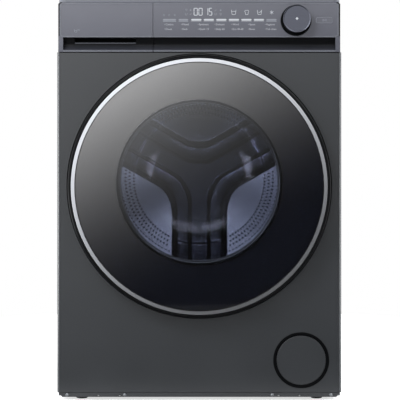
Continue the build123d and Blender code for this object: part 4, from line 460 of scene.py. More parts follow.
def round_axis(radius, depth, a, height=0.0):
    """Corners at x = radius cos a, y = depth, z = height + radius sin a."""
    x, y, z = np.broadcast_arrays(radius * np.cos(a), depth, height + radius * np.sin(a))
    return np.stack([x, y, z], axis=-1)


def quads(rows, columns, close_rows=False, close_columns=False):
    """Faces of a grid of corners; closing joins the last row or column to the first."""
    row, column = np.meshgrid(np.arange(rows - (not close_rows)), np.arange(columns - (not close_columns)),
                              indexing="ij")
    near, far = row * columns, (row + 1) % rows * columns
    after = (column + 1) % columns
    return np.stack([near + column, near + after, far + after, far + column], axis=-1).reshape(-1, 4)


def capped(rings):
    """Rings of corners with a row at each end that is drawn together to its middle."""
    middle = np.repeat(rings.mean(axis=1, keepdims=True), rings.shape[1], axis=1)
    return np.concatenate([middle[:1], rings, middle[-1:]])


def eased(outline, reach, steps=6):
    """A closed outline with its corners rounded.

    Each corner P becomes the curve (1-t)^2 A + 2t(1-t) P + t^2 B, where A and B
    lie on its two sides, reach away or nearly half a side if that is less.
    """
    corner = np.asarray(outline, float)
    sides = np.stack([np.roll(corner, 1, 0) - corner, np.roll(corner, -1, 0) - corner])
    length = np.linalg.norm(sides, axis=2, keepdims=True)
    reach = np.broadcast_to(np.asarray(reach, float), len(corner))[None, :, None]
    start, end = corner + sides * np.minimum(reach / length, 0.48)
    t = np.linspace(0, 1, steps)[None, :, None]
    curve = (1 - t) ** 2 * start[:, None] + 2 * t * (1 - t) * corner[:, None] + t ** 2 * end[:, None]
    return curve.reshape(-1, 2)


def through(points, steps=10):
    """A smooth open curve through points: the Catmull-Rom cubic between each two."""
    p = np.asarray(points, float)
    p = np.concatenate([2 * p[:1] - p[1:2], p, 2 * p[-1:] - p[-2:-1]])
    t = np.linspace(0, 1, steps, endpoint=False)[None, :, None]
    a, b, c, d = (p[i:len(p) - 3 + i, None] for i in range(4))
    curve = 0.5 * (2 * b + (c - a) * t + (2 * a - 5 * b + 4 * c - d) * t ** 2
                   + (3 * b - a - 3 * c + d) * t ** 3)
    return np.concatenate([curve.reshape(-1, 2), p[-2:-1]])


def turned(profile, centre, sides=192, closed=True, behind=0.0):
    """A profile of (depth, radius) turned about a front-to-back axis.

    A corner lies at x = centre x + radius cos a, y = behind + depth, z = centre
    z + radius sin a, for sides even steps of a. An open profile starts and ends
    on the axis. Profile in millimetres, centre and result in metres.
    """
    depth, radius = (np.asarray(profile, float) + (behind, 0)).T[:, :, None] * MM
    corners = round_axis(radius, depth, circle(sides)) + (centre[0], 0, centre[1])
    return corners.reshape(-1, 3), quads(len(profile), sides, close_rows=closed, close_columns=True)


def repeated(shape, places):
    """One shape at many places, each a 3 by 4 matrix of turn and shift."""
    corners, faces = shape
    moved = np.einsum("nij,kj->nki", places[:, :, :3], corners) + places[:, None, :, 3]
    shift = np.arange(len(places))[:, None, None] * len(corners)
    return moved.reshape(-1, 3), (faces[None] + shift).reshape(-1, faces.shape[1])


def together(*shapes):
    """Several shapes as one."""
    starts = np.cumsum([0] + [len(corners) for corners, _ in shapes[:-1]])
    return (np.concatenate([corners for corners, _ in shapes]),
            np.concatenate([faces + start for (_, faces), start in zip(shapes, starts)]))


def mounted(name, mesh, body, sharp, stands_for):
    """A mesh as a finished piece of the machine, riding on a body.

    Its doubled corners are merged, its faces turned outward, and it is shaded
    smooth, but for edges sharper than sharp degrees.
    """
    work = bmesh.new()
    work.from_mesh(mesh)
    bmesh.ops.remove_doubles(work, verts=work.verts, dist=0.002 * MM)
    bmesh.ops.recalc_face_normals(work, faces=work.faces)
    work.to_mesh(mesh)
    work.free()
    mesh.shade_smooth()
    mesh.set_sharp_from_angle(angle=math.radians(sharp))
    thing = bpy.data.objects.new(name, mesh)
    bpy.context.scene.collection.objects.link(thing)
    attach(thing, body)
    if stands_for:
        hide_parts(*stands_for)
    return thing


def piece(name, body, material, shape, sharp=35, stands_for=(), second=None, second_faces=None):
    """A new piece of the machine from corners and faces. The faces marked in
    second_faces take the second material."""
    mesh = bpy.data.meshes.new(name)
    mesh.from_pydata(shape[0].tolist(), [], shape[1].tolist())
    mesh.materials.append(material)
    if second:
        mesh.materials.append(second)
        mesh.polygons.foreach_set("material_index", np.asarray(second_faces, np.int32))
    return mounted(name, mesh, body, sharp, stands_for)


BODY_OF = {node: body for body, nodes in frame["record"]["behaviour"]["bodies"].items() for node in nodes}
SLOT_OF = {part["node"]: part["material_slot"] for part in frame["record"]["subparts"]}


def smoothed(node, sharp=32):
    """A CAD node's own shape as a new piece, with its curved faces shaded
    smooth, so that polished surfaces mirror without facets."""
    name = node + "_smooth"
    mesh = frame["nodes"][node].data.copy()
    mesh.name = name
    return mounted(name, mesh, BODY_OF[node], sharp, (node,))


# ---------------------------------------------------------------- door
F = FRONT / MM               # the front panel's plane in millimetres
DOOR_CENTRE = (0.0, DOOR_Z)
DRUM_CENTRE = (0.0, DRUM_Z)
GLASS_APEX = F - 42.0        # depth of the glass in its middle
GLASS_EDGE = F - 38.2        # and at its edge
GLASS_RADIUS = 258.6
GLASS_THICK = 3.5
PRINT_INNER = 172.5          # clear window in the black print behind the glass
BALL = (GLASS_RADIUS ** 2 + (GLASS_EDGE - GLASS_APEX) ** 2) / (2 * (GLASS_EDGE - GLASS_APEX))


def dome(radius, behind=0.0):
    """Depth of the door glass, a shallow ball's cap, at a radius from its middle:
    apex + ball - sqrt(ball^2 - radius^2), plus how far behind its face."""
    return GLASS_APEX + BALL - np.sqrt(BALL ** 2 - np.asarray(radius, float) ** 2) + behind


face = np.append(np.linspace(0, GLASS_RADIUS - 1.6, 47), GLASS_RADIUS - 0.8)
rim = [(GLASS_EDGE + 0.4, GLASS_RADIUS - 0.2), (GLASS_EDGE + 1.0, GLASS_RADIUS),
       (GLASS_EDGE + 2.6, GLASS_RADIUS), (GLASS_EDGE + 3.2, GLASS_RADIUS - 0.3)]
pane = np.concatenate([np.stack([dome(face), face], axis=1), rim,
                       np.stack([dome(face[::-1], GLASS_THICK), face[::-1]], axis=1)])
piece("door_glass", "door", DOOR_GLASS, turned(pane, DOOR_CENTRE, 256, closed=False),
      stands_for=("door_glass_cover",))


def print_ring(inner, outer, behind, steps=24, sides=256):
    """The black print on the back of the glass, as a thin sheet: its inner edge
    is a circle about the drum's axis, its outer edge one about the door's, and
    the rows between are weighted means of the two. Depth follows the dome."""
    a = circle(sides)
    share = np.linspace(0, 1, steps)[:, None]
    radius = inner + (outer - inner) * share
    x = radius * np.cos(a)
    z = radius * np.sin(a) + (1 - share) * (DRUM_Z - DOOR_Z) / MM
    front = np.stack([x, dome(np.hypot(x, z), behind), z + DOOR_Z / MM], axis=-1)
    back = front[::-1] + (0.0, 0.2, 0.0)
    corners = np.concatenate([front, back]) * MM
    return corners.reshape(-1, 3), quads(2 * steps, sides, close_rows=True, close_columns=True)


piece("glass_print", "door", PRINT,
      print_ring(PRINT_INNER, GLASS_RADIUS - 0.5, GLASS_THICK + 0.1))

# The ring's section from its back round its inner edge, its bright face and its
# outer edge: only the face and the bends beside it are silver.
TRIM_INNER, TRIM_OUTER, TRIM_SIDES = 259.0, 267.0, 320
TRIM = [(-34.7, TRIM_INNER), (-39.9, TRIM_INNER), (-40.2, TRIM_INNER + 0.3), (-40.16, TRIM_INNER + 0.7),
        (-39.50, TRIM_OUTER - 0.7), (-39.46, TRIM_OUTER - 0.3), (-39.1, TRIM_OUTER), (-34.7, TRIM_OUTER)]
trim_shape = turned(TRIM, DOOR_CENTRE, TRIM_SIDES, behind=F)
dark_edges = np.isin(np.arange(len(trim_shape[1])) // TRIM_SIDES, (0, 1, 5, 6, 7))
piece("door_trim", "door", TRIM_RING, trim_shape, sharp=50, second=GLOSS_BLACK,
      second_faces=dark_edges, stands_for=("door_trim_ring",))
give(smoothed("door_outer_frame"), GLOSS_BLACK)

# The pressed bowl: a curve for its outside, its flange, and one for its inside.
outer = through([(-6.7, 168), (2, 166.5), (30, 160), (74, 144), (91, 118), (97.5, 80), (99.6, 35), (100, 0)])
flange = [(-6.7, 181.0), (-7.4, 182.0), (-11.0, 182.0), (-11.7, 181.0)]
inner = through([(-11.7, 163), (28, 155), (68, 140), (86, 113), (92.5, 78), (94.6, 35), (95, 0)])
bowl = np.concatenate([outer[::-1], flange, inner])
piece("door_bowl_glass", "door", BOWL_GLASS,
      turned(bowl, DRUM_CENTRE, 224, closed=False, behind=F), stands_for=("door_bowl",))

# The bellows' section: a flange held in the cabinet's mouth, with a lip inward
# for the bowl, one fold outward, and a sleeve that runs back to the tub.
GASKET_FOLDS = [(-257, 197), (-252.3, 197), (-252.3, 184.5), (-241, 184.5), (-236, 212), (-222, 212),
                (-217, 193.5), (-197, 193.5), (-197, 190.2), (-219, 190.2), (-224.5, 208.8),
                (-233.8, 208.8), (-238.5, 181.3), (-250, 181.3), (-250, 167), (-257, 167)]
piece("gasket_bellows", "cabinet", GASKET,
      turned(eased(GASKET_FOLDS, 1.6, 5), DRUM_CENTRE), stands_for=("door_gasket",))

# ---------------------------------------------------------------- drum
ARM_ANGLES = np.radians([30.0, 150.0, 270.0])
BORE = 245.0                 # inner radius of the drum's wall
PLATE = 174.5                # depth of the drum's back plate
PLATE_BACK = 176.0
STAR_RISE = 20.0
CHANNEL_HALF = 19.0          # half the channel that runs out along each arm
RIDGE_FOOT = 27.0            # where the ridge beside it has risen
RIDGE_FALL = 54.0
RIDGE_OUTER = 68.0
BLEND = 35.0                 # how widely two arms' ridges sweep into one


def ramp_up(value, low, high):
    """Smooth step from 0 at low to 1 at high: 3s^2 - 2s^3."""
    s = np.clip((value - low) / (high - low), 0, 1)
    return s * s * (3 - 2 * s)


def arm_distance(x, z):
    """Distance from the nearest of the star's three arms, with the crease where
    two arms are as near swept round: min(a, b) - max(BLEND - |a - b|, 0)^2 / 4 BLEND."""
    near = []
    for angle in ARM_ANGLES:
        along = x * math.cos(angle) + z * math.sin(angle)
        across = -x * math.sin(angle) + z * math.cos(angle)
        near.append(np.where(along > 0, np.abs(across), np.hypot(along, across)))
    joined = near[0]
    for other in near[1:]:
        sweep = np.maximum(BLEND - np.abs(joined - other), 0) ** 2 / (4 * BLEND)
        joined = np.minimum(joined, other) - sweep
    return joined


def back_relief(radius, a):
    """How far the drum's back stands in towards the door, in millimetres: a
    shallow dish, an outer band stepped forward, and a crowned ridge between 19
    and 68 mm from each arm that sinks to three quarters at the rim."""
    away = arm_distance(radius * np.cos(a), radius * np.sin(a))
    ridge = ramp_up(away, CHANNEL_HALF, RIDGE_FOOT) * (1 - ramp_up(away, RIDGE_FALL, RIDGE_OUTER))
    crown = np.clip(1 - 0.10 * ((away - 40) / 20) ** 2, 0, 1)
    sink = 0.75 + 0.25 * ramp_up(-radius, -244, -200)
    dish = 12.0 * (radius / BORE) ** 2
    band = 3.0 * ramp_up(radius, 158, 163)
    return dish + band + STAR_RISE * ridge * crown * sink


def drum_back(rows=96, sides=540):
    """The drum's back: its relief on a polar grid, closed by a flat back. Also
    which of its faces belong to the pressed star."""
    radius = np.linspace(0, BORE, rows)[:, None]
    a = circle(sides)[None, :]
    depth = PLATE - back_relief(radius, a)
    edge = np.array([[BORE + 1.4], [BORE + 1.4], [180.0], [0.0]])
    edge_depth = np.array([[PLATE - 4.0], [PLATE_BACK], [PLATE_BACK], [PLATE_BACK]]) + 0 * a
    radius = np.concatenate([radius, edge])
    corners = round_axis(radius, np.concatenate([depth, edge_depth]), a, DRUM_Z / MM) * MM
    middle = (radius[:-1] + radius[1:]) / 2
    away = arm_distance(middle * np.cos(a), middle * np.sin(a))
    shape = corners.reshape(-1, 3), quads(len(radius), sides, close_columns=True)
    return shape, ((away < RIDGE_OUTER) & (middle < BORE - 1.0)).reshape(-1)


# The wall's section: its front lip rolled in, its bore, and its outside.
WALL = [(-187, 182), (-187, 187), (-183.5, 190), (-180.5, 238), (-172, 246.5), (172, 246.5), (172, BORE),
        (-171.4, BORE), (-179, 237), (-182, 190.5), (-185.5, 188.2), (-185.5, 182)]
back, pressed = drum_back()
piece("drum_back_plate", "drum", DRUM_STEEL, back, sharp=50, second=STAR_STEEL_PAINTED_DARK,
      second_faces=pressed)
piece("drum_wall", "drum", WALL_STEEL, turned(eased(WALL, 1.2, 5), DRUM_CENTRE), sharp=50,
      stands_for=("drum_shell",))

# ---------------------------------------------------------------- console
C = CONSOLE_FACE / MM        # the console's face in millimetres
SEAM_X = -97.5               # where the drawer front meets the fixed fascia
KNOB_CENTRE = (204.7, 803.0)
BUTTON_CENTRE = (263.5, 801.5)


def swept(path, section, closed=False, face=C):
    """A closed section of (across, depth) carried along a path of (x, z).

    A corner lies at path + across * n, where n is the path's direction turned a
    quarter to its left, and at y = face + depth. An open path's ends are drawn
    together to the middle of the section, which closes them.
    """
    path = np.asarray(path, float)
    keep = np.linalg.norm(path - np.roll(path, 1, 0), axis=1) > 1e-6
    keep[0] = True
    path = path[keep]
    if closed:
        run = np.roll(path, -1, 0) - np.roll(path, 1, 0)
    else:
        run = np.gradient(path, axis=0)
    run /= np.linalg.norm(run, axis=1, keepdims=True)
    left = np.stack([-run[:, 1], run[:, 0]], axis=1)
    across, depth = np.asarray(section, float).T
    flat = path[:, None] + left[:, None] * across[None, :, None]
    corners = np.stack([flat[..., 0], face + depth + 0 * flat[..., 0], flat[..., 1]], axis=-1)
    if not closed:
        corners = capped(corners)
    faces = quads(len(corners), len(across), close_rows=closed, close_columns=True)
    return corners.reshape(-1, 3) * MM, faces


def strokes(lines, width, face=C, rise=0.12):
    """Pointed bars, one along each line of (x, z, x, z), standing rise proud.

    A bar's outline is its two ends and, half a width in from each, two corners
    half a width to either side.
    """
    lines = np.asarray(lines, float)
    start, end = lines[:, :2], lines[:, 2:]
    length = np.linalg.norm(end - start, axis=1)[:, None]
    run = (end - start) / length
    left = np.stack([-run[:, 1], run[:, 0]], axis=1)
    half = width / 2
    along = length * [0, 0, 1, 1, 1, 0] + np.array([0, half, -half, 0, -half, half])
    across = np.array([0, half, half, 0, -half, -half])
    flat = start[:, None] + run[:, None] * along[..., None] + left[:, None] * across[:, None]
    front = np.stack([flat[..., 0], face - rise + 0 * flat[..., 0], flat[..., 1]], axis=-1)
    corners = np.concatenate([front, front + (0, rise + 0.1, 0)], axis=1)
    sides = [(i, (i + 1) % 6, (i + 1) % 6 + 6, i + 6) for i in range(6)]
    bar = np.array([(0, 1, 2, 3), (0, 3, 4, 5), (6, 9, 8, 7), (6, 11, 10, 9)] + sides)
    faces = bar[None] + 12 * np.arange(len(lines))[:, None, None]
    return corners.reshape(-1, 3) * MM, faces.reshape(-1, 4)


def printed(name, body, ink, *marks, face=C):
    """A legend on a body's face, of strokes from (lines, width) each."""
    piece(name, body, ink,
          together(*[strokes(lines, width, face) for lines, width in marks]))


def level(ends, height):
    """A level line between two places across the machine."""
    return [(ends[0], height), (ends[1], height)]


def chain(points, place=(0, 0)):
    """The lines that join points in turn, drawn from a place."""
    p = np.asarray(points, float) + place
    return np.concatenate([p[:-1], p[1:]], axis=1)


def hoop(centre, radius=1.5, sides=8):
    """The lines of a closed ring of sides."""
    a = np.linspace(0, 2 * math.pi, sides + 1)
    return chain(np.stack([np.cos(a), np.sin(a)], axis=1) * radius + centre)


def lettering(words, size, face=C, rise=0.12):
    """Printed words as thin closed letters, from (word, x, z) each."""
    shapes = []
    for word, x, z in words:
        curve = bpy.data.curves.new("lettering", "FONT")
        curve.body, curve.size, curve.extrude, curve.resolution_u = word, size, rise / 2, 2
        holder = bpy.data.objects.new("lettering", curve)
        mesh = bpy.data.meshes.new_from_object(holder)
        mesh.calc_loop_triangles()
        flat = np.empty(3 * len(mesh.vertices))
        mesh.vertices.foreach_get("co", flat)
        corners = flat.reshape(-1, 3)
        faces = np.empty(3 * len(mesh.loop_triangles), int)
        mesh.loop_triangles.foreach_get("vertices", faces)
        set_in = np.stack([x + corners[:, 0], face - rise / 2 - corners[:, 2], z + corners[:, 1]], axis=1)
        shapes.append((set_in * MM, faces.reshape(-1, 3)))
        bpy.data.objects.remove(holder)
        bpy.data.curves.remove(curve)
        bpy.data.meshes.remove(mesh)
    return together(*shapes)


# The face plate's bright bevel and the bead along the grip lip, both painted paler
# as a painted highlight, each in two lengths that part at the drawer's seam, and a
# black strip, a painted shade of the gap and the plate's shadowed side edge, that
# runs up either side of the plate and round its top corner.
PLATE_SIDE, PLATE_FOOT, PLATE_TOP, PLATE_ROUND = 292.6, 767.0, 836.4, 6.0
GAP_SIDE, GAP_FOOT, GAP_TOP, GAP_ROUND = 295.6, 768.0, 838.5, 6.5
LIP_SIDE, LIP_HEIGHT = 287.0, 736.0
SEAM_HALF = 1.0              # half the seam that is left bare
BEVEL = [(-1.1, 0.05), (-0.9, -0.35), (0.0, -0.6), (0.9, -0.35), (1.1, 0.05)]
EDGE_SHADE_STRIP = [(-1.3, 0.05), (-1.2, -0.15), (1.2, -0.15), (1.3, 0.05)]
for name, body, side in (("drawer", "drawer", -1), ("fascia", "cabinet", 1)):
    seam = SEAM_X + side * SEAM_HALF
    edge = side * PLATE_SIDE
    plate = [(seam, PLATE_FOOT), (edge, PLATE_FOOT), (edge, PLATE_TOP), (seam, PLATE_TOP)]
    gap = [(side * GAP_SIDE, GAP_FOOT), (side * GAP_SIDE, GAP_TOP), (seam, GAP_TOP)]
    piece(name + "_bevel", body, BEAD_PAINTED_PALE,
          swept(eased(plate, [0, PLATE_ROUND, PLATE_ROUND, 0], 8), BEVEL))
    piece(name + "_gap", body, BLACK_ABS_AND_SHADE,
          swept(eased(gap, [0, GAP_ROUND, 0], 8)[:-8], EDGE_SHADE_STRIP))
    piece(name + "_lip_bead", body, BEAD_PAINTED_PALE,
          swept(level((seam, side * LIP_SIDE), LIP_HEIGHT), BEVEL))

# The finger slot under the drawer's face: a black sheet across its back, a painted
# shade over the pocket's lit wall, and a pale lip that catches the light.
SLOT_ENDS = (-263.5, -134.5)
SLOT_SHADE_SHEET = [(-5.2, 33.9), (-5.1, 33.4), (5.1, 33.4), (5.2, 33.9)]
SLOT_LIP = [(-1.3, 15.2), (-1.1, 14.5), (0.0, 14.1), (1.1, 14.5), (1.3, 15.2)]
piece("slot_painted_shade", "drawer", DEEP_BLACK_AND_SHADE, swept(level(SLOT_ENDS, 759.1), SLOT_SHADE_SHEET))
piece("slot_lip", "drawer", BEAD_PAINTED_PALE, swept(level(SLOT_ENDS, 754.4), SLOT_LIP))

# The dead-front display: digits, bars and pictograms shine through the plate.
SEGMENTS = {"a": (0, 2, 1, 2), "b": (1, 2, 1, 1), "c": (1, 1, 1, 0), "d": (0, 0, 1, 0), "e": (0, 1, 0, 0),
            "f": (0, 2, 0, 1), "g": (0, 1, 1, 1)}
DIGITS = {"0": "abcdef", "1": "bc", "5": "afgcd"}


def digit(figure, x, width=7.0, height=14.6, foot=812.0):
    """One upright figure of seven segments, in a cell width by height."""
    cell = np.array([SEGMENTS[s] for s in DIGITS[figure]], float) * (width, height / 2, width, height / 2)
    return cell + (x, foot, x, foot)


figures = [digit("0", -11.0), digit("0", -0.8), digit("1", 11.2), digit("5", 21.0, width=5.6)]
printed("display_digits", "cabinet", LIT_WHITE, (np.concatenate(figures), 1.5))

# Nine bars under the display, each over a thin rule: the first two and the last
# are dim.
BAR_HEIGHT, RULE_HEIGHT = 802.4, 799.2
BARS = [(-77.0, 28.5), (-43.8, 21.0)] + [(-17.4 + 26.4 * k, 22.4) for k in range(7)]
bars = np.array([(x, BAR_HEIGHT, x + width, BAR_HEIGHT) for x, width in BARS])
rules = bars + (0, RULE_HEIGHT - BAR_HEIGHT, 0, RULE_HEIGHT - BAR_HEIGHT)
printed("display_bars", "cabinet", LIT_WHITE, (bars[2:8], 3.6))
printed("display_dim_bars", "cabinet", DIM_WHITE, (bars[[0, 1, 8]], 3.4), (rules, 1.6))

TUB = chain([(0, 1), (0.16, 0), (0.84, 0), (1, 1)])
WAVE = chain([(0, 0.72), (0.25, 0.60), (0.5, 0.72), (0.75, 0.60), (1, 0.72)])
SHIRT = chain([(0, 0.7), (0.3, 1), (0.4, 0.88), (0.6, 0.88), (0.7, 1), (1, 0.7), (0.8, 0.55), (0.8, 0),
               (0.2, 0), (0.2, 0.55), (0, 0.7)])
SPOKES = np.array([0.52, 1.57, 2.62])[:, None]
FLAKE = 0.5 + 0.5 * np.concatenate([-np.cos(SPOKES), -np.sin(SPOKES), np.cos(SPOKES), np.sin(SPOKES)], axis=1)
TICKS = chain([(0, 0.2), (0.35, 0), (1, 0.8)])


def drawn(*signs):
    """The lines of signs, each drawn from (sign, x, z, size) with its lower left
    corner at (x, z)."""
    return np.concatenate([sign * size + (x, z, x, z) for sign, x, z, size in signs])


SIGN_FOOT = 813.4
SMALL = 4.2                  # height of the small signs
DOT_HEIGHT = 812.2
signs = drawn((TUB, 67.6, SIGN_FOOT, 10), (WAVE, 67.6, SIGN_FOOT, 10), (SHIRT, 95.4, SIGN_FOOT, 9.5),
              (TUB, 122.2, SIGN_FOOT, 9.5), (TICKS, 125.0, 817.2, 6.5), (FLAKE, 148.4, 813.6, 8.5))
small = drawn((SHIRT, -29.4, 821.0, SMALL), (TUB, -29.4, 812.4, SMALL), (FLAKE, -20.4, 820.6, SMALL),
              (TICKS, -20.4, 812.8, SMALL), (TICKS, 32.2, 820.8, SMALL), (TUB, 32.2, 812.4, SMALL),
              (FLAKE, 43.0, 820.4, SMALL), (SHIRT, 43.0, 812.2, SMALL))
dots = np.concatenate([hoop((x, DOT_HEIGHT)) for x in (-74.6, -63.4, -51.6)])
printed("display_signs", "cabinet", LIT_WHITE, (signs, 0.9))
printed("display_small_signs", "cabinet", DIM_WHITE, (small, 0.7), (dots, 0.9))

PROGRAMMES = [("Cotton", "Mixed", "Synthetic", "Delicate", "Wool", "Sport", "Hygiene"),
              ("Duvet", "Dark", "Quick 15", "Daily 60", "Eco 40-60", "Rinse", "Tub clean")]
words = [(word, -71.0 + 35.3 * column, 790.8 - 9.9 * row)
         for row, line in enumerate(PROGRAMMES) for column, word in enumerate(line)]
drawer_sign = np.concatenate([drawn((TUB, -263.5, 776.2, 6.5), (WAVE, -263.5, 775.4, 6.5)),
                              hoop((-253.6, 781.0), 1.3)])
piece("programme_names", "cabinet", LEGEND_INK, lettering(words, 5.6))
printed("programme_dots", "cabinet", LEGEND_INK,
        ([(x - 2.6, z + 1.9, x - 1.2, z + 1.9) for _, x, z in words], 1.3))
printed("drawer_sign", "drawer", FAINT_INK, (drawer_sign, 0.8))

# The dial: a turned aluminium cap with a bright chamfer and a sunk face, the dot
# that points, and a black ring set low and left of it, a painted shadow of the dial.
K = C - 19.0                 # the dial's front
cap = [(C - 4.0, 0.0), (C - 4.0, 27.2), (C - 4.6, 28.4), (K + 1.0, 29.0), (K + 0.3, 29.0), (K, 28.5),
       (K + 0.3, 27.3), (K + 0.75, 26.6), (K + 0.8, 12.0), (K + 0.8, 0.0)]
dot = [(K + 0.9, 0.0), (K + 0.9, 3.2), (K + 0.6, 3.2), (K + 0.4, 2.6), (K + 0.3, 0.0)]
shadow_ring = [(C + 0.4, 26.6), (C + 0.4, 32.4), (C - 3.0, 32.3), (C - 3.5, 31.8), (C - 3.5, 27.6),
          (C - 1.0, 26.6)]
knob_at = np.array(KNOB_CENTRE) * MM
piece("program_dial", "knob", KNOB_METAL, turned(cap, knob_at, 128, closed=False), sharp=28,
      stands_for=("program_knob",))
piece("dial_dot", "knob", LIT_WHITE, turned(dot, knob_at, 4, closed=False))
piece("dial_painted_shadow", "cabinet", DEEP_BLACK_AND_SHADE,
      turned(shadow_ring, knob_at - np.array((1.0, 2.0)) * MM, 96))

# The start key's printed outline and its start and pause sign.
B = C - 0.3                  # the key's face
KEY_HALF, KEY_RISE = 16.6, 5.9
x, z = BUTTON_CENTRE
outline = [(x - KEY_HALF, z - KEY_RISE), (x + KEY_HALF, z - KEY_RISE), (x + KEY_HALF, z + KEY_RISE),
           (x - KEY_HALF, z + KEY_RISE)]
line = [(-0.45, 0.1), (-0.4, -0.12), (0.4, -0.12), (0.45, 0.1)]
start = np.concatenate([chain([(-3.2, -2.6), (-3.2, 2.6), (0.6, 0), (-3.2, -2.6)], (x, z)),
                        [(x + 2.2, z - 2.6, x + 2.2, z + 2.6), (x + 4.2, z - 2.6, x + 4.2, z + 2.6)]])
piece("start_outline", "button", FAINT_INK,
      swept(eased(outline, 3.0), line, closed=True, face=B))
printed("start_sign", "button", FAINT_INK, (start, 0.8), face=B)


# ---------------------------------------------------------------- inside the drum
def about_drum(angles):
    """Turns about the drum's axis: the 3 by 3 matrix of each angle."""
    c, s, zero = np.cos(angles), np.sin(angles), 0 * angles
    rows = [c, zero, -s], [zero, zero + 1, zero], [s, zero, c]
    return np.stack([np.stack(row, axis=-1) for row in rows], axis=-2)


def placed(turns, radius, depth, angles):
    """The 3 by 4 matrices that turn a shape and set it out at a radius from the
    drum's axis, both in millimetres."""
    shift = round_axis(radius, depth, angles, DRUM_Z / MM) * MM
    return np.concatenate([turns, shift[:, :, None]], axis=2)


def dimple(long, wide, high, sides=10):
    """A low pressed button, long along X and wide along Z, standing high towards
    the door: rings at 1, 0.8, 0.45 and 0 of its size, at 0, 0.55, 0.93 and all
    of its height, over a flat foot sunk 0.3 mm."""
    share = np.array([1.0, 0.8, 0.45, 0.0])[:, None]
    rise = np.array([0.0, 0.55, 0.93, 1.0])[:, None]
    top = round_axis(share, -high * rise, circle(sides))[::-1]
    foot = round_axis(np.array([[1.0], [0.0]]), 0.3, circle(sides))
    corners = np.concatenate([top, foot]) * (long / 2, 1, wide / 2) * MM
    return corners.reshape(-1, 3), quads(6, sides, close_columns=True)


def ring_of(shape, radius, count, phase=0.0):
    """The shape set round the drum's back plate wherever no arm of the star runs."""
    a = circle(count) + phase
    a = a[arm_distance(radius * np.cos(a), radius * np.sin(a)) > RIDGE_OUTER + 3]
    return repeated(shape, placed(about_drum(a), radius, PLATE - back_relief(radius + 0 * a, a), a))


# Three rings of long buttons, each a little further round than the last, and
# one of tall buttons outside them.
rings = [ring_of(dimple(6.4, 3.6, 1.1), 161.5 + 10 * k, 128, 0.02 * k) for k in range(3)]
rings.append(ring_of(dimple(3.4, 5.2, 1.3), 193.5, 128))
piece("drum_back_dimples", "drum", STAR_STEEL_PAINTED_DARK, together(*rings), sharp=60)

# The wall's drain holes: a black disc sunk in each, a painted shade of the hole,
# inside a bright pressed rim, in rows that stand a half step apart, left out under
# the three lifters.
HOLE_ROWS, HOLE_COLUMNS = 17, 60
HOLE_SIDES = 8
LIFTER_CLEAR = 0.19          # how near a lifter, in radians, no hole is left
row, column = np.meshgrid(np.arange(HOLE_ROWS), np.arange(HOLE_COLUMNS), indexing="ij")
hole_at = (2 * math.pi * (column + 0.5 * (row % 2)) / HOLE_COLUMNS).reshape(-1)
hole_deep = np.linspace(-150, 140, HOLE_ROWS)[row].reshape(-1)
off = (hole_at[:, None] - ARM_ANGLES + math.pi) % (2 * math.pi) - math.pi
kept = np.min(np.abs(off), axis=-1) > LIFTER_CLEAR
hole_at, hole_deep = hole_at[kept], hole_deep[kept]
inward = about_drum(hole_at) @ np.array([[0, 1, 0], [-1, 0, 0], [0, 0, 1]])   # its front faces the axis
places = placed(inward, BORE - 0.1, hole_deep, hole_at)
rim_ring = np.array([(3.0, 0.2), (2.7, -0.5), (2.0, -0.55), (1.7, 0.0)])
disc = np.array([(0.0, -0.06), (1.8, -0.06), (1.8, 0.2), (0.0, 0.2)])
for name, steel, section, closed in (("drum_wall_rims", STAR_STEEL_PAINTED_DARK, rim_ring, True),
                                     ("drum_wall_hole_shade", BLACK_ABS_AND_SHADE, disc, False)):
    corners = round_axis(section[:, :1], section[:, 1:], circle(HOLE_SIDES)).reshape(-1, 3) * MM
    faces = quads(4, HOLE_SIDES, close_rows=closed, close_columns=True)
    piece(name, "drum", steel, repeated((corners, faces), places))


def lifter(rows=64, columns=33, high=47.0, half=36.0):
    """A hollow paddle on the drum's wall, running front to back.

    At depth 153 u - 5 and across v, both from -1 to 1, its height is high e
    (1 - |v|^2.6), where e = (1 - |u|^6)^(1/2) brings both ends down to the wall.
    Its half width is half (0.55 + 0.45 e), drawn in by 0.3 at the crest. Its
    foot closes it just inside the wall.
    """
    u = np.linspace(-1, 1, rows)[:, None]
    v = np.linspace(-1, 1, columns)[None, :]
    ends = np.clip(1 - np.abs(u) ** 6, 0, 1) ** 0.5
    proud = ends * (1 - np.abs(v) ** 2.6)
    wide = half * (0.55 + 0.45 * ends) * v * (1 - 0.30 * proud)
    crest = np.stack([BORE - 3.0 - high * proud, -5.0 + 153.0 * u + 0 * v, wide], axis=-1)
    foot = crest[:, ::-1].copy()
    foot[..., 0] = np.sqrt((BORE + 0.6) ** 2 - foot[..., 2] ** 2) - 0.9
    corners = capped(np.concatenate([crest, foot], axis=1))
    return corners.reshape(-1, 3) * MM, quads(rows + 2, 2 * columns, close_columns=True)


piece("drum_paddles", "drum", LIFTER,
      repeated(lifter(), placed(about_drum(ARM_ANGLES), 0.0, 0.0, ARM_ANGLES)), sharp=60,
      stands_for=("drum_lifters",))

# A polished bead where the bowl's throat meets its flange, and a second inside.
for name, radius, thick, deep in (("bowl_bead", 168.6, 1.5, -13.6), ("throat_bead", 164.6, 0.7, -12.4)):
    bend = circle(14)
    bead = np.stack([deep + thick * np.sin(bend), radius + thick * np.cos(bend)], axis=1)
    piece(name, "door", BEAD_STEEL, turned(bead, DRUM_CENTRE, 224, behind=F))

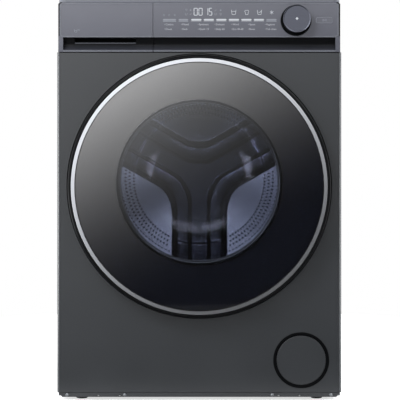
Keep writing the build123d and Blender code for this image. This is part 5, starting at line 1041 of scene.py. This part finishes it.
# ---------------------------------------------------------------- body
# The thin dark bezel round the filter's cover.
FILTER_CENTRE = (215 * MM, 84.6 * MM)
BEZEL = [(-0.9, 52.2), (-1.3, 52.9), (-1.4, 55.6), (-1.3, 58.4), (-0.8, 59.0), (-0.2, 59.0), (-0.2, 52.2)]
piece("filter_bezel", "cabinet", DEEP_BLACK_AND_SHADE,
      turned(eased(BEZEL, 0.4, 4), FILTER_CENTRE, 128, behind=F), sharp=50)

# The rolled front edge of each side panel, which the edge lamps pick out: a strip
# of an arc HEM_ROUND in radius about a line HEM_ROUND inside the cabinet's corner.
CABINET_SIDE = 300.0
HEM_ROUND, HEM_LIFT, HEM_SINK = 5.0, 0.05, 0.4
HEM_FOOT, HEM_TOP = 17.5, 733.0
bend = np.radians(np.linspace(-12, 72, 11))[:, None]
for name, side in (("left", -1), ("right", 1)):
    reach = np.array([HEM_ROUND + HEM_LIFT, HEM_ROUND - HEM_SINK])
    x = side * (CABINET_SIDE - HEM_ROUND + reach * np.sin(bend))
    y = F + HEM_ROUND - reach * np.cos(bend)
    strip = np.stack([np.append(flat[:, 0], flat[::-1, 1]) for flat in (x, y)], axis=-1)
    ends = [np.insert(strip, 2, height, axis=1) for height in (HEM_FOOT, HEM_TOP)]
    piece("hem_edge_" + name, "cabinet", BODY_PAINT,
          (capped(np.stack(ends)).reshape(-1, 3) * MM, quads(4, len(strip), close_columns=True)), sharp=60)

# Turned and moulded parts keep their own shape, with their curved faces shaded
# smooth; flat sheets stay as they are, because they need no smoothing.
ROUND_PARTS = ("cabinet_screws", "rear_plugs", "foot_front_left", "foot_front_right", "foot_rear_left",
               "foot_rear_right", "foot_locknuts", "siphon_cap", "dispenser_hose", "inlet_valve",
               "water_hoses", "hinge_pin", "tub_front", "tub_rear", "tub_bolts", "counterweights",
               "suspension_springs", "damper_cylinders", "damper_rods", "heater", "sump_hose",
               "drum_bearings", "drum_spider", "motor_rotor", "drain_pump", "pump_impeller", "pump_filter")
for node in ROUND_PARTS:
    give(smoothed(node), CAD_FINISHES[SLOT_OF[node]])

# The coils of the two springs that the tub hangs on, wound over their cores.
COIL_TURNS, COIL_REACH, WIRE = 30, 10.4, 1.5
SPRING_SIDE, SPRING_DEPTH, SPRING_FOOT, SPRING_TOP = 262.0, 30.0, 642.0, 768.0


def coil(x, steps=18, sides=8):
    """A helix of COIL_TURNS turns about an upright axis at x: its wire's middle
    climbs evenly, and its section is a ring of radius WIRE in the plane of the
    outward ray and of Z."""
    t = np.linspace(0, 2 * math.pi * COIL_TURNS, COIL_TURNS * steps + 1)[:, None]
    reach = COIL_REACH + WIRE * np.cos(circle(sides))
    high = SPRING_FOOT + (SPRING_TOP - SPRING_FOOT) * t / t[-1] + WIRE * np.sin(circle(sides))
    rings = np.stack([x + reach * np.cos(t), SPRING_DEPTH + reach * np.sin(t), high], axis=-1)
    corners = capped(rings[:, ::-1]) * MM        # each ring turned round, so that the faces point outward
    return corners.reshape(-1, 3), quads(len(corners), sides, close_columns=True)


piece("spring_coils", "cabinet", PLATED_STEEL,
      together(coil(-SPRING_SIDE), coil(SPRING_SIDE)), sharp=50)

# Soft parts that join the cabinet to the tub are taken off the bodies and left
# where they stand; each lists where the cabinet holds its start and the tub its
# end, which are not used here.
SOFT_PARTS = {"gasket_bellows": ((0, -0.241, 0.46), (0, -0.215, 0.46)),
              "suspension_springs_smooth": ((0, 0.03, 0.800), (0, 0.03, 0.634)),
              "spring_coils": ((0, 0.03, 0.800), (0, 0.03, 0.634)),
              "dispenser_hose_smooth": ((-0.15, -0.03, 0.736), (-0.15, -0.03, 0.702)),
              "sump_hose_smooth": ((0.1, -0.17, 0.090), (0.1, -0.17, 0.170))}
for name, (start, end) in SOFT_PARTS.items():
    soft = bpy.data.objects[name]
    soft.parent = None
    del soft["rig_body"]
    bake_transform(soft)


# ---------------------------------------------------------------- studio
CAMERA_HEIGHT = 0.520
CAMERA_DISTANCE = 2.550      # from the front panel
VIEW_WIDTH = 0.8436          # what the frame takes in at the front panel
VIEW_MIDDLE = (0.0016, 0.4225)
SENSOR = 36.0


def in_studio(name, data):
    """Data as an object of the studio."""
    thing = bpy.data.objects.new(name, data)
    bpy.context.scene.collection.objects.link(thing)
    return thing


def sheet(name, outline):
    """One flat face, as an object of the studio."""
    mesh = bpy.data.meshes.new(name)
    mesh.from_pydata(np.asarray(outline, float).tolist(), [], [tuple(range(len(outline)))])
    thing = in_studio(name, mesh)
    return thing


lens = bpy.data.cameras.new("camera")
lens.sensor_width = SENSOR
lens.lens = SENSOR * CAMERA_DISTANCE / VIEW_WIDTH
lens.shift_x = VIEW_MIDDLE[0] / VIEW_WIDTH
lens.shift_y = (VIEW_MIDDLE[1] - CAMERA_HEIGHT) / VIEW_WIDTH
camera = in_studio("camera", lens)
camera.location = (0.0, FRONT - CAMERA_DISTANCE, CAMERA_HEIGHT)
camera.rotation_euler = (math.pi / 2, 0.0, 0.0)
bpy.context.scene.camera = camera

FLOOR_RADIUS = 1.2           # the paper ends before the door's glass can mirror it
around = circle(96)
floor = sheet("studio_floor", FLOOR_RADIUS * np.stack([np.cos(around), np.sin(around), 0 * around], axis=1))

# White paper, matt and evenly lit, so that it runs into the white surround: its
# glow is PAPER_GLOW to the eye, in mirrors and through glass, and PAPER_WHITE
# more to the eye alone.
PAPER_GLOW = 0.42
PAPER_WHITE = 0.22
material, tree, shader, place = new_finish("white_paper_sweep")
path = add(tree, "LightPath")
seen = add(tree, "Math", {0: path.outputs["Is Camera Ray"], 1: path.outputs["Is Glossy Ray"]},
           operation="MAXIMUM")
seen = add(tree, "Math", {0: seen.outputs[0], 1: path.outputs["Is Transmission Ray"]}, operation="MAXIMUM")
glow = add(tree, "Math", {0: seen.outputs[0], 1: PAPER_GLOW}, operation="MULTIPLY")
glow = add(tree, "Math", {0: path.outputs["Is Camera Ray"], 1: PAPER_WHITE, 2: glow.outputs[0]},
           operation="MULTIPLY_ADD")
shader.inputs["Base Color"].default_value = linear("e6e6e6")
shader.inputs["Roughness"].default_value = 0.9
shader.inputs["Emission Color"].default_value = (1, 1, 1, 1)
tree.links.new(glow.outputs[0], shader.inputs["Emission Strength"])
give(floor, material)

# A black velvet flag on the floor in front, which only polished faces see, keeps
# the paper's glare off the lower half of the door.
FLAG_HALF, FLAG_FRONT, FLAG_BACK, FLAG_HEIGHT = 1.2, -1.4, -0.34, 0.004
flag = sheet("black_flag", [(-FLAG_HALF, FLAG_FRONT, FLAG_HEIGHT), (FLAG_HALF, FLAG_FRONT, FLAG_HEIGHT),
                            (FLAG_HALF, FLAG_BACK, FLAG_HEIGHT), (-FLAG_HALF, FLAG_BACK, FLAG_HEIGHT)])
flag.visible_camera = flag.visible_diffuse = flag.visible_shadow = flag.visible_transmission = False
give(flag, moulded_plastic("black_velvet", "0a0a0b", roughness=0.9))

# The world is a white surround to the eye and a plain soft level to everything
# that it lights. Polished faces see that surround behind the machine, and in
# front of it a dim studio with one wide soft panel, high on the left, whose
# light fades out across the middle.
AMBIENT = 0.45
BACKDROP = 1.0
PANEL_GLOW = 3.2
PANEL_LEAN = -0.58           # how far the panel's lower edge climbs to the right
PANEL_EDGE = -0.17           # direction, up from level, where its light starts
PANEL_FADE = 0.32            # and how far above that it is full
PANEL_TOP = (0.40, 0.80)     # directions where it starts to end overhead, and has ended
DIM_STUDIO = 0.03
SIDE_GLOW = 1.2              # white flats to either side, which the edges catch
world = bpy.data.worlds.new("studio")
bpy.context.scene.world = world
world.use_nodes = True
sky = world.node_tree
sky.nodes.clear()
ray = add(sky, "LightPath")
toward = add(sky, "SeparateXYZ", {0: add(sky, "TexCoord").outputs["Generated"]})
climb = add(sky, "Math", {0: toward.outputs["X"], 1: PANEL_LEAN, 2: toward.outputs["Z"]},
            operation="MULTIPLY_ADD")
fade = add(sky, "MapRange", {0: climb.outputs[0], 1: PANEL_EDGE, 2: PANEL_EDGE + PANEL_FADE})
soft = add(sky, "Math", {0: fade.outputs[0], 1: 3.0}, operation="POWER")
panel = add(sky, "Math", {0: soft.outputs[0], 1: PANEL_GLOW, 2: DIM_STUDIO}, operation="MULTIPLY_ADD")
ceiling = add(sky, "MapRange", {0: climb.outputs[0], 1: PANEL_TOP[1], 2: PANEL_TOP[0]})
panel = add(sky, "Math", {0: panel.outputs[0], 1: ceiling.outputs[0]}, operation="MULTIPLY")
aside = add(sky, "Math", {0: toward.outputs["X"]}, operation="ABSOLUTE")
sideways = add(sky, "MapRange", {0: aside.outputs[0], 1: 0.70, 2: 0.95})
panel = add(sky, "Math", {0: sideways.outputs[0], 1: SIDE_GLOW, 2: panel.outputs[0]},
            operation="MULTIPLY_ADD")
front = add(sky, "MapRange", {0: toward.outputs["Y"], 1: 0.75, 2: 0.35}, interpolation_type="SMOOTHSTEP")
studio = add(sky, "Mix", {FACTOR: front.outputs[0], 2: BACKDROP, 3: panel.outputs[0]}, data_type="FLOAT")
mirrored = add(sky, "Mix", {FACTOR: ray.outputs["Is Glossy Ray"], 2: AMBIENT, 3: studio.outputs[0]},
               data_type="FLOAT")
direct = add(sky, "Math", {0: ray.outputs["Is Camera Ray"], 1: ray.outputs["Is Transmission Ray"]},
             operation="MAXIMUM")
light = add(sky, "Mix", {FACTOR: direct.outputs[0], 2: mirrored.outputs[0], 3: BACKDROP}, data_type="FLOAT")
surround = add(sky, "Background", {"Color": (1, 1, 1, 1), "Strength": light.outputs[0]})
sky.links.new(surround.outputs[0], add(sky, "OutputWorld").inputs["Surface"])


def soft_lamp(name, place, target, width, height, power):
    """A soft box at place, turned towards target."""
    data = bpy.data.lights.new(name, "AREA")
    data.shape = "RECTANGLE"
    data.size, data.size_y, data.energy = width, height, power
    lamp = in_studio(name, data)
    lamp.location = place
    aim = np.array(target) - np.array(place)
    lamp.rotation_euler = (math.acos(-aim[2] / np.linalg.norm(aim)), 0.0,
                           math.atan2(aim[1], aim[0]) - math.pi / 2)
    return lamp


# A key high on the left and a faint fill light the front; lamps beside and behind
# it, which no polished face mirrors, light the sides and the worktop.
soft_lamp("key_high_left", (-1.3, -1.9, 2.2), (0, -0.2, 0.45), 1.3, 1.3, 50)
soft_lamp("fill_high_right", (1.2, -1.9, 2.0), (0, -0.2, 0.45), 1.1, 1.1, 4)
for lamp in (soft_lamp("side_left", (-1.7, 0.05, 0.7), (-0.3, 0.05, 0.5), 0.5, 1.2, 26),
             soft_lamp("side_right", (1.7, 0.05, 0.7), (0.3, 0.05, 0.5), 0.5, 1.2, 30),
             soft_lamp("rim_back", (0.4, 2.2, 2.4), (0, 0.2, 0.6), 1.8, 1.2, 40)):
    lamp.visible_glossy = False

# Either side of the camera stand three more. Two reach through the door to the
# drum alone, high and low, so that they pick out its pressed star and leave no
# spots in the door's glass. The third lights the panels' rolled edges alone.
inside = bpy.data.collections.new("lit_inside")
edges = bpy.data.collections.new("lit_edges")
for thing in bpy.context.scene.objects:
    if thing.name.startswith(("drum_", "door_bowl")) and thing.type == "MESH" and not thing.hide_render:
        inside.objects.link(thing)
    if thing.name.startswith("hem_edge"):
        edges.objects.link(thing)
for side in (-1, 1):
    for name, place, target, width, height, power, lit in (
            ("drum_lamp", (0.36 * side, -2.50, 1.22), (0, 0, 0.45), 0.70, 0.70, 28, inside),
            ("arm_lamp", (1.05 * side, -2.20, 0.06), (0, 0, 0.46), 0.55, 0.55, 44, inside),
            ("edge_lamp", (1.9 * side, -1.2, 0.25), (0.3 * side, -0.2, 0.25), 0.5, 1.4, 54, edges)):
        lamp = soft_lamp(name, place, target, width, height, power)
        lamp.light_linking.receiver_collection = lit

bpy.context.scene.view_settings.view_transform = "Standard"
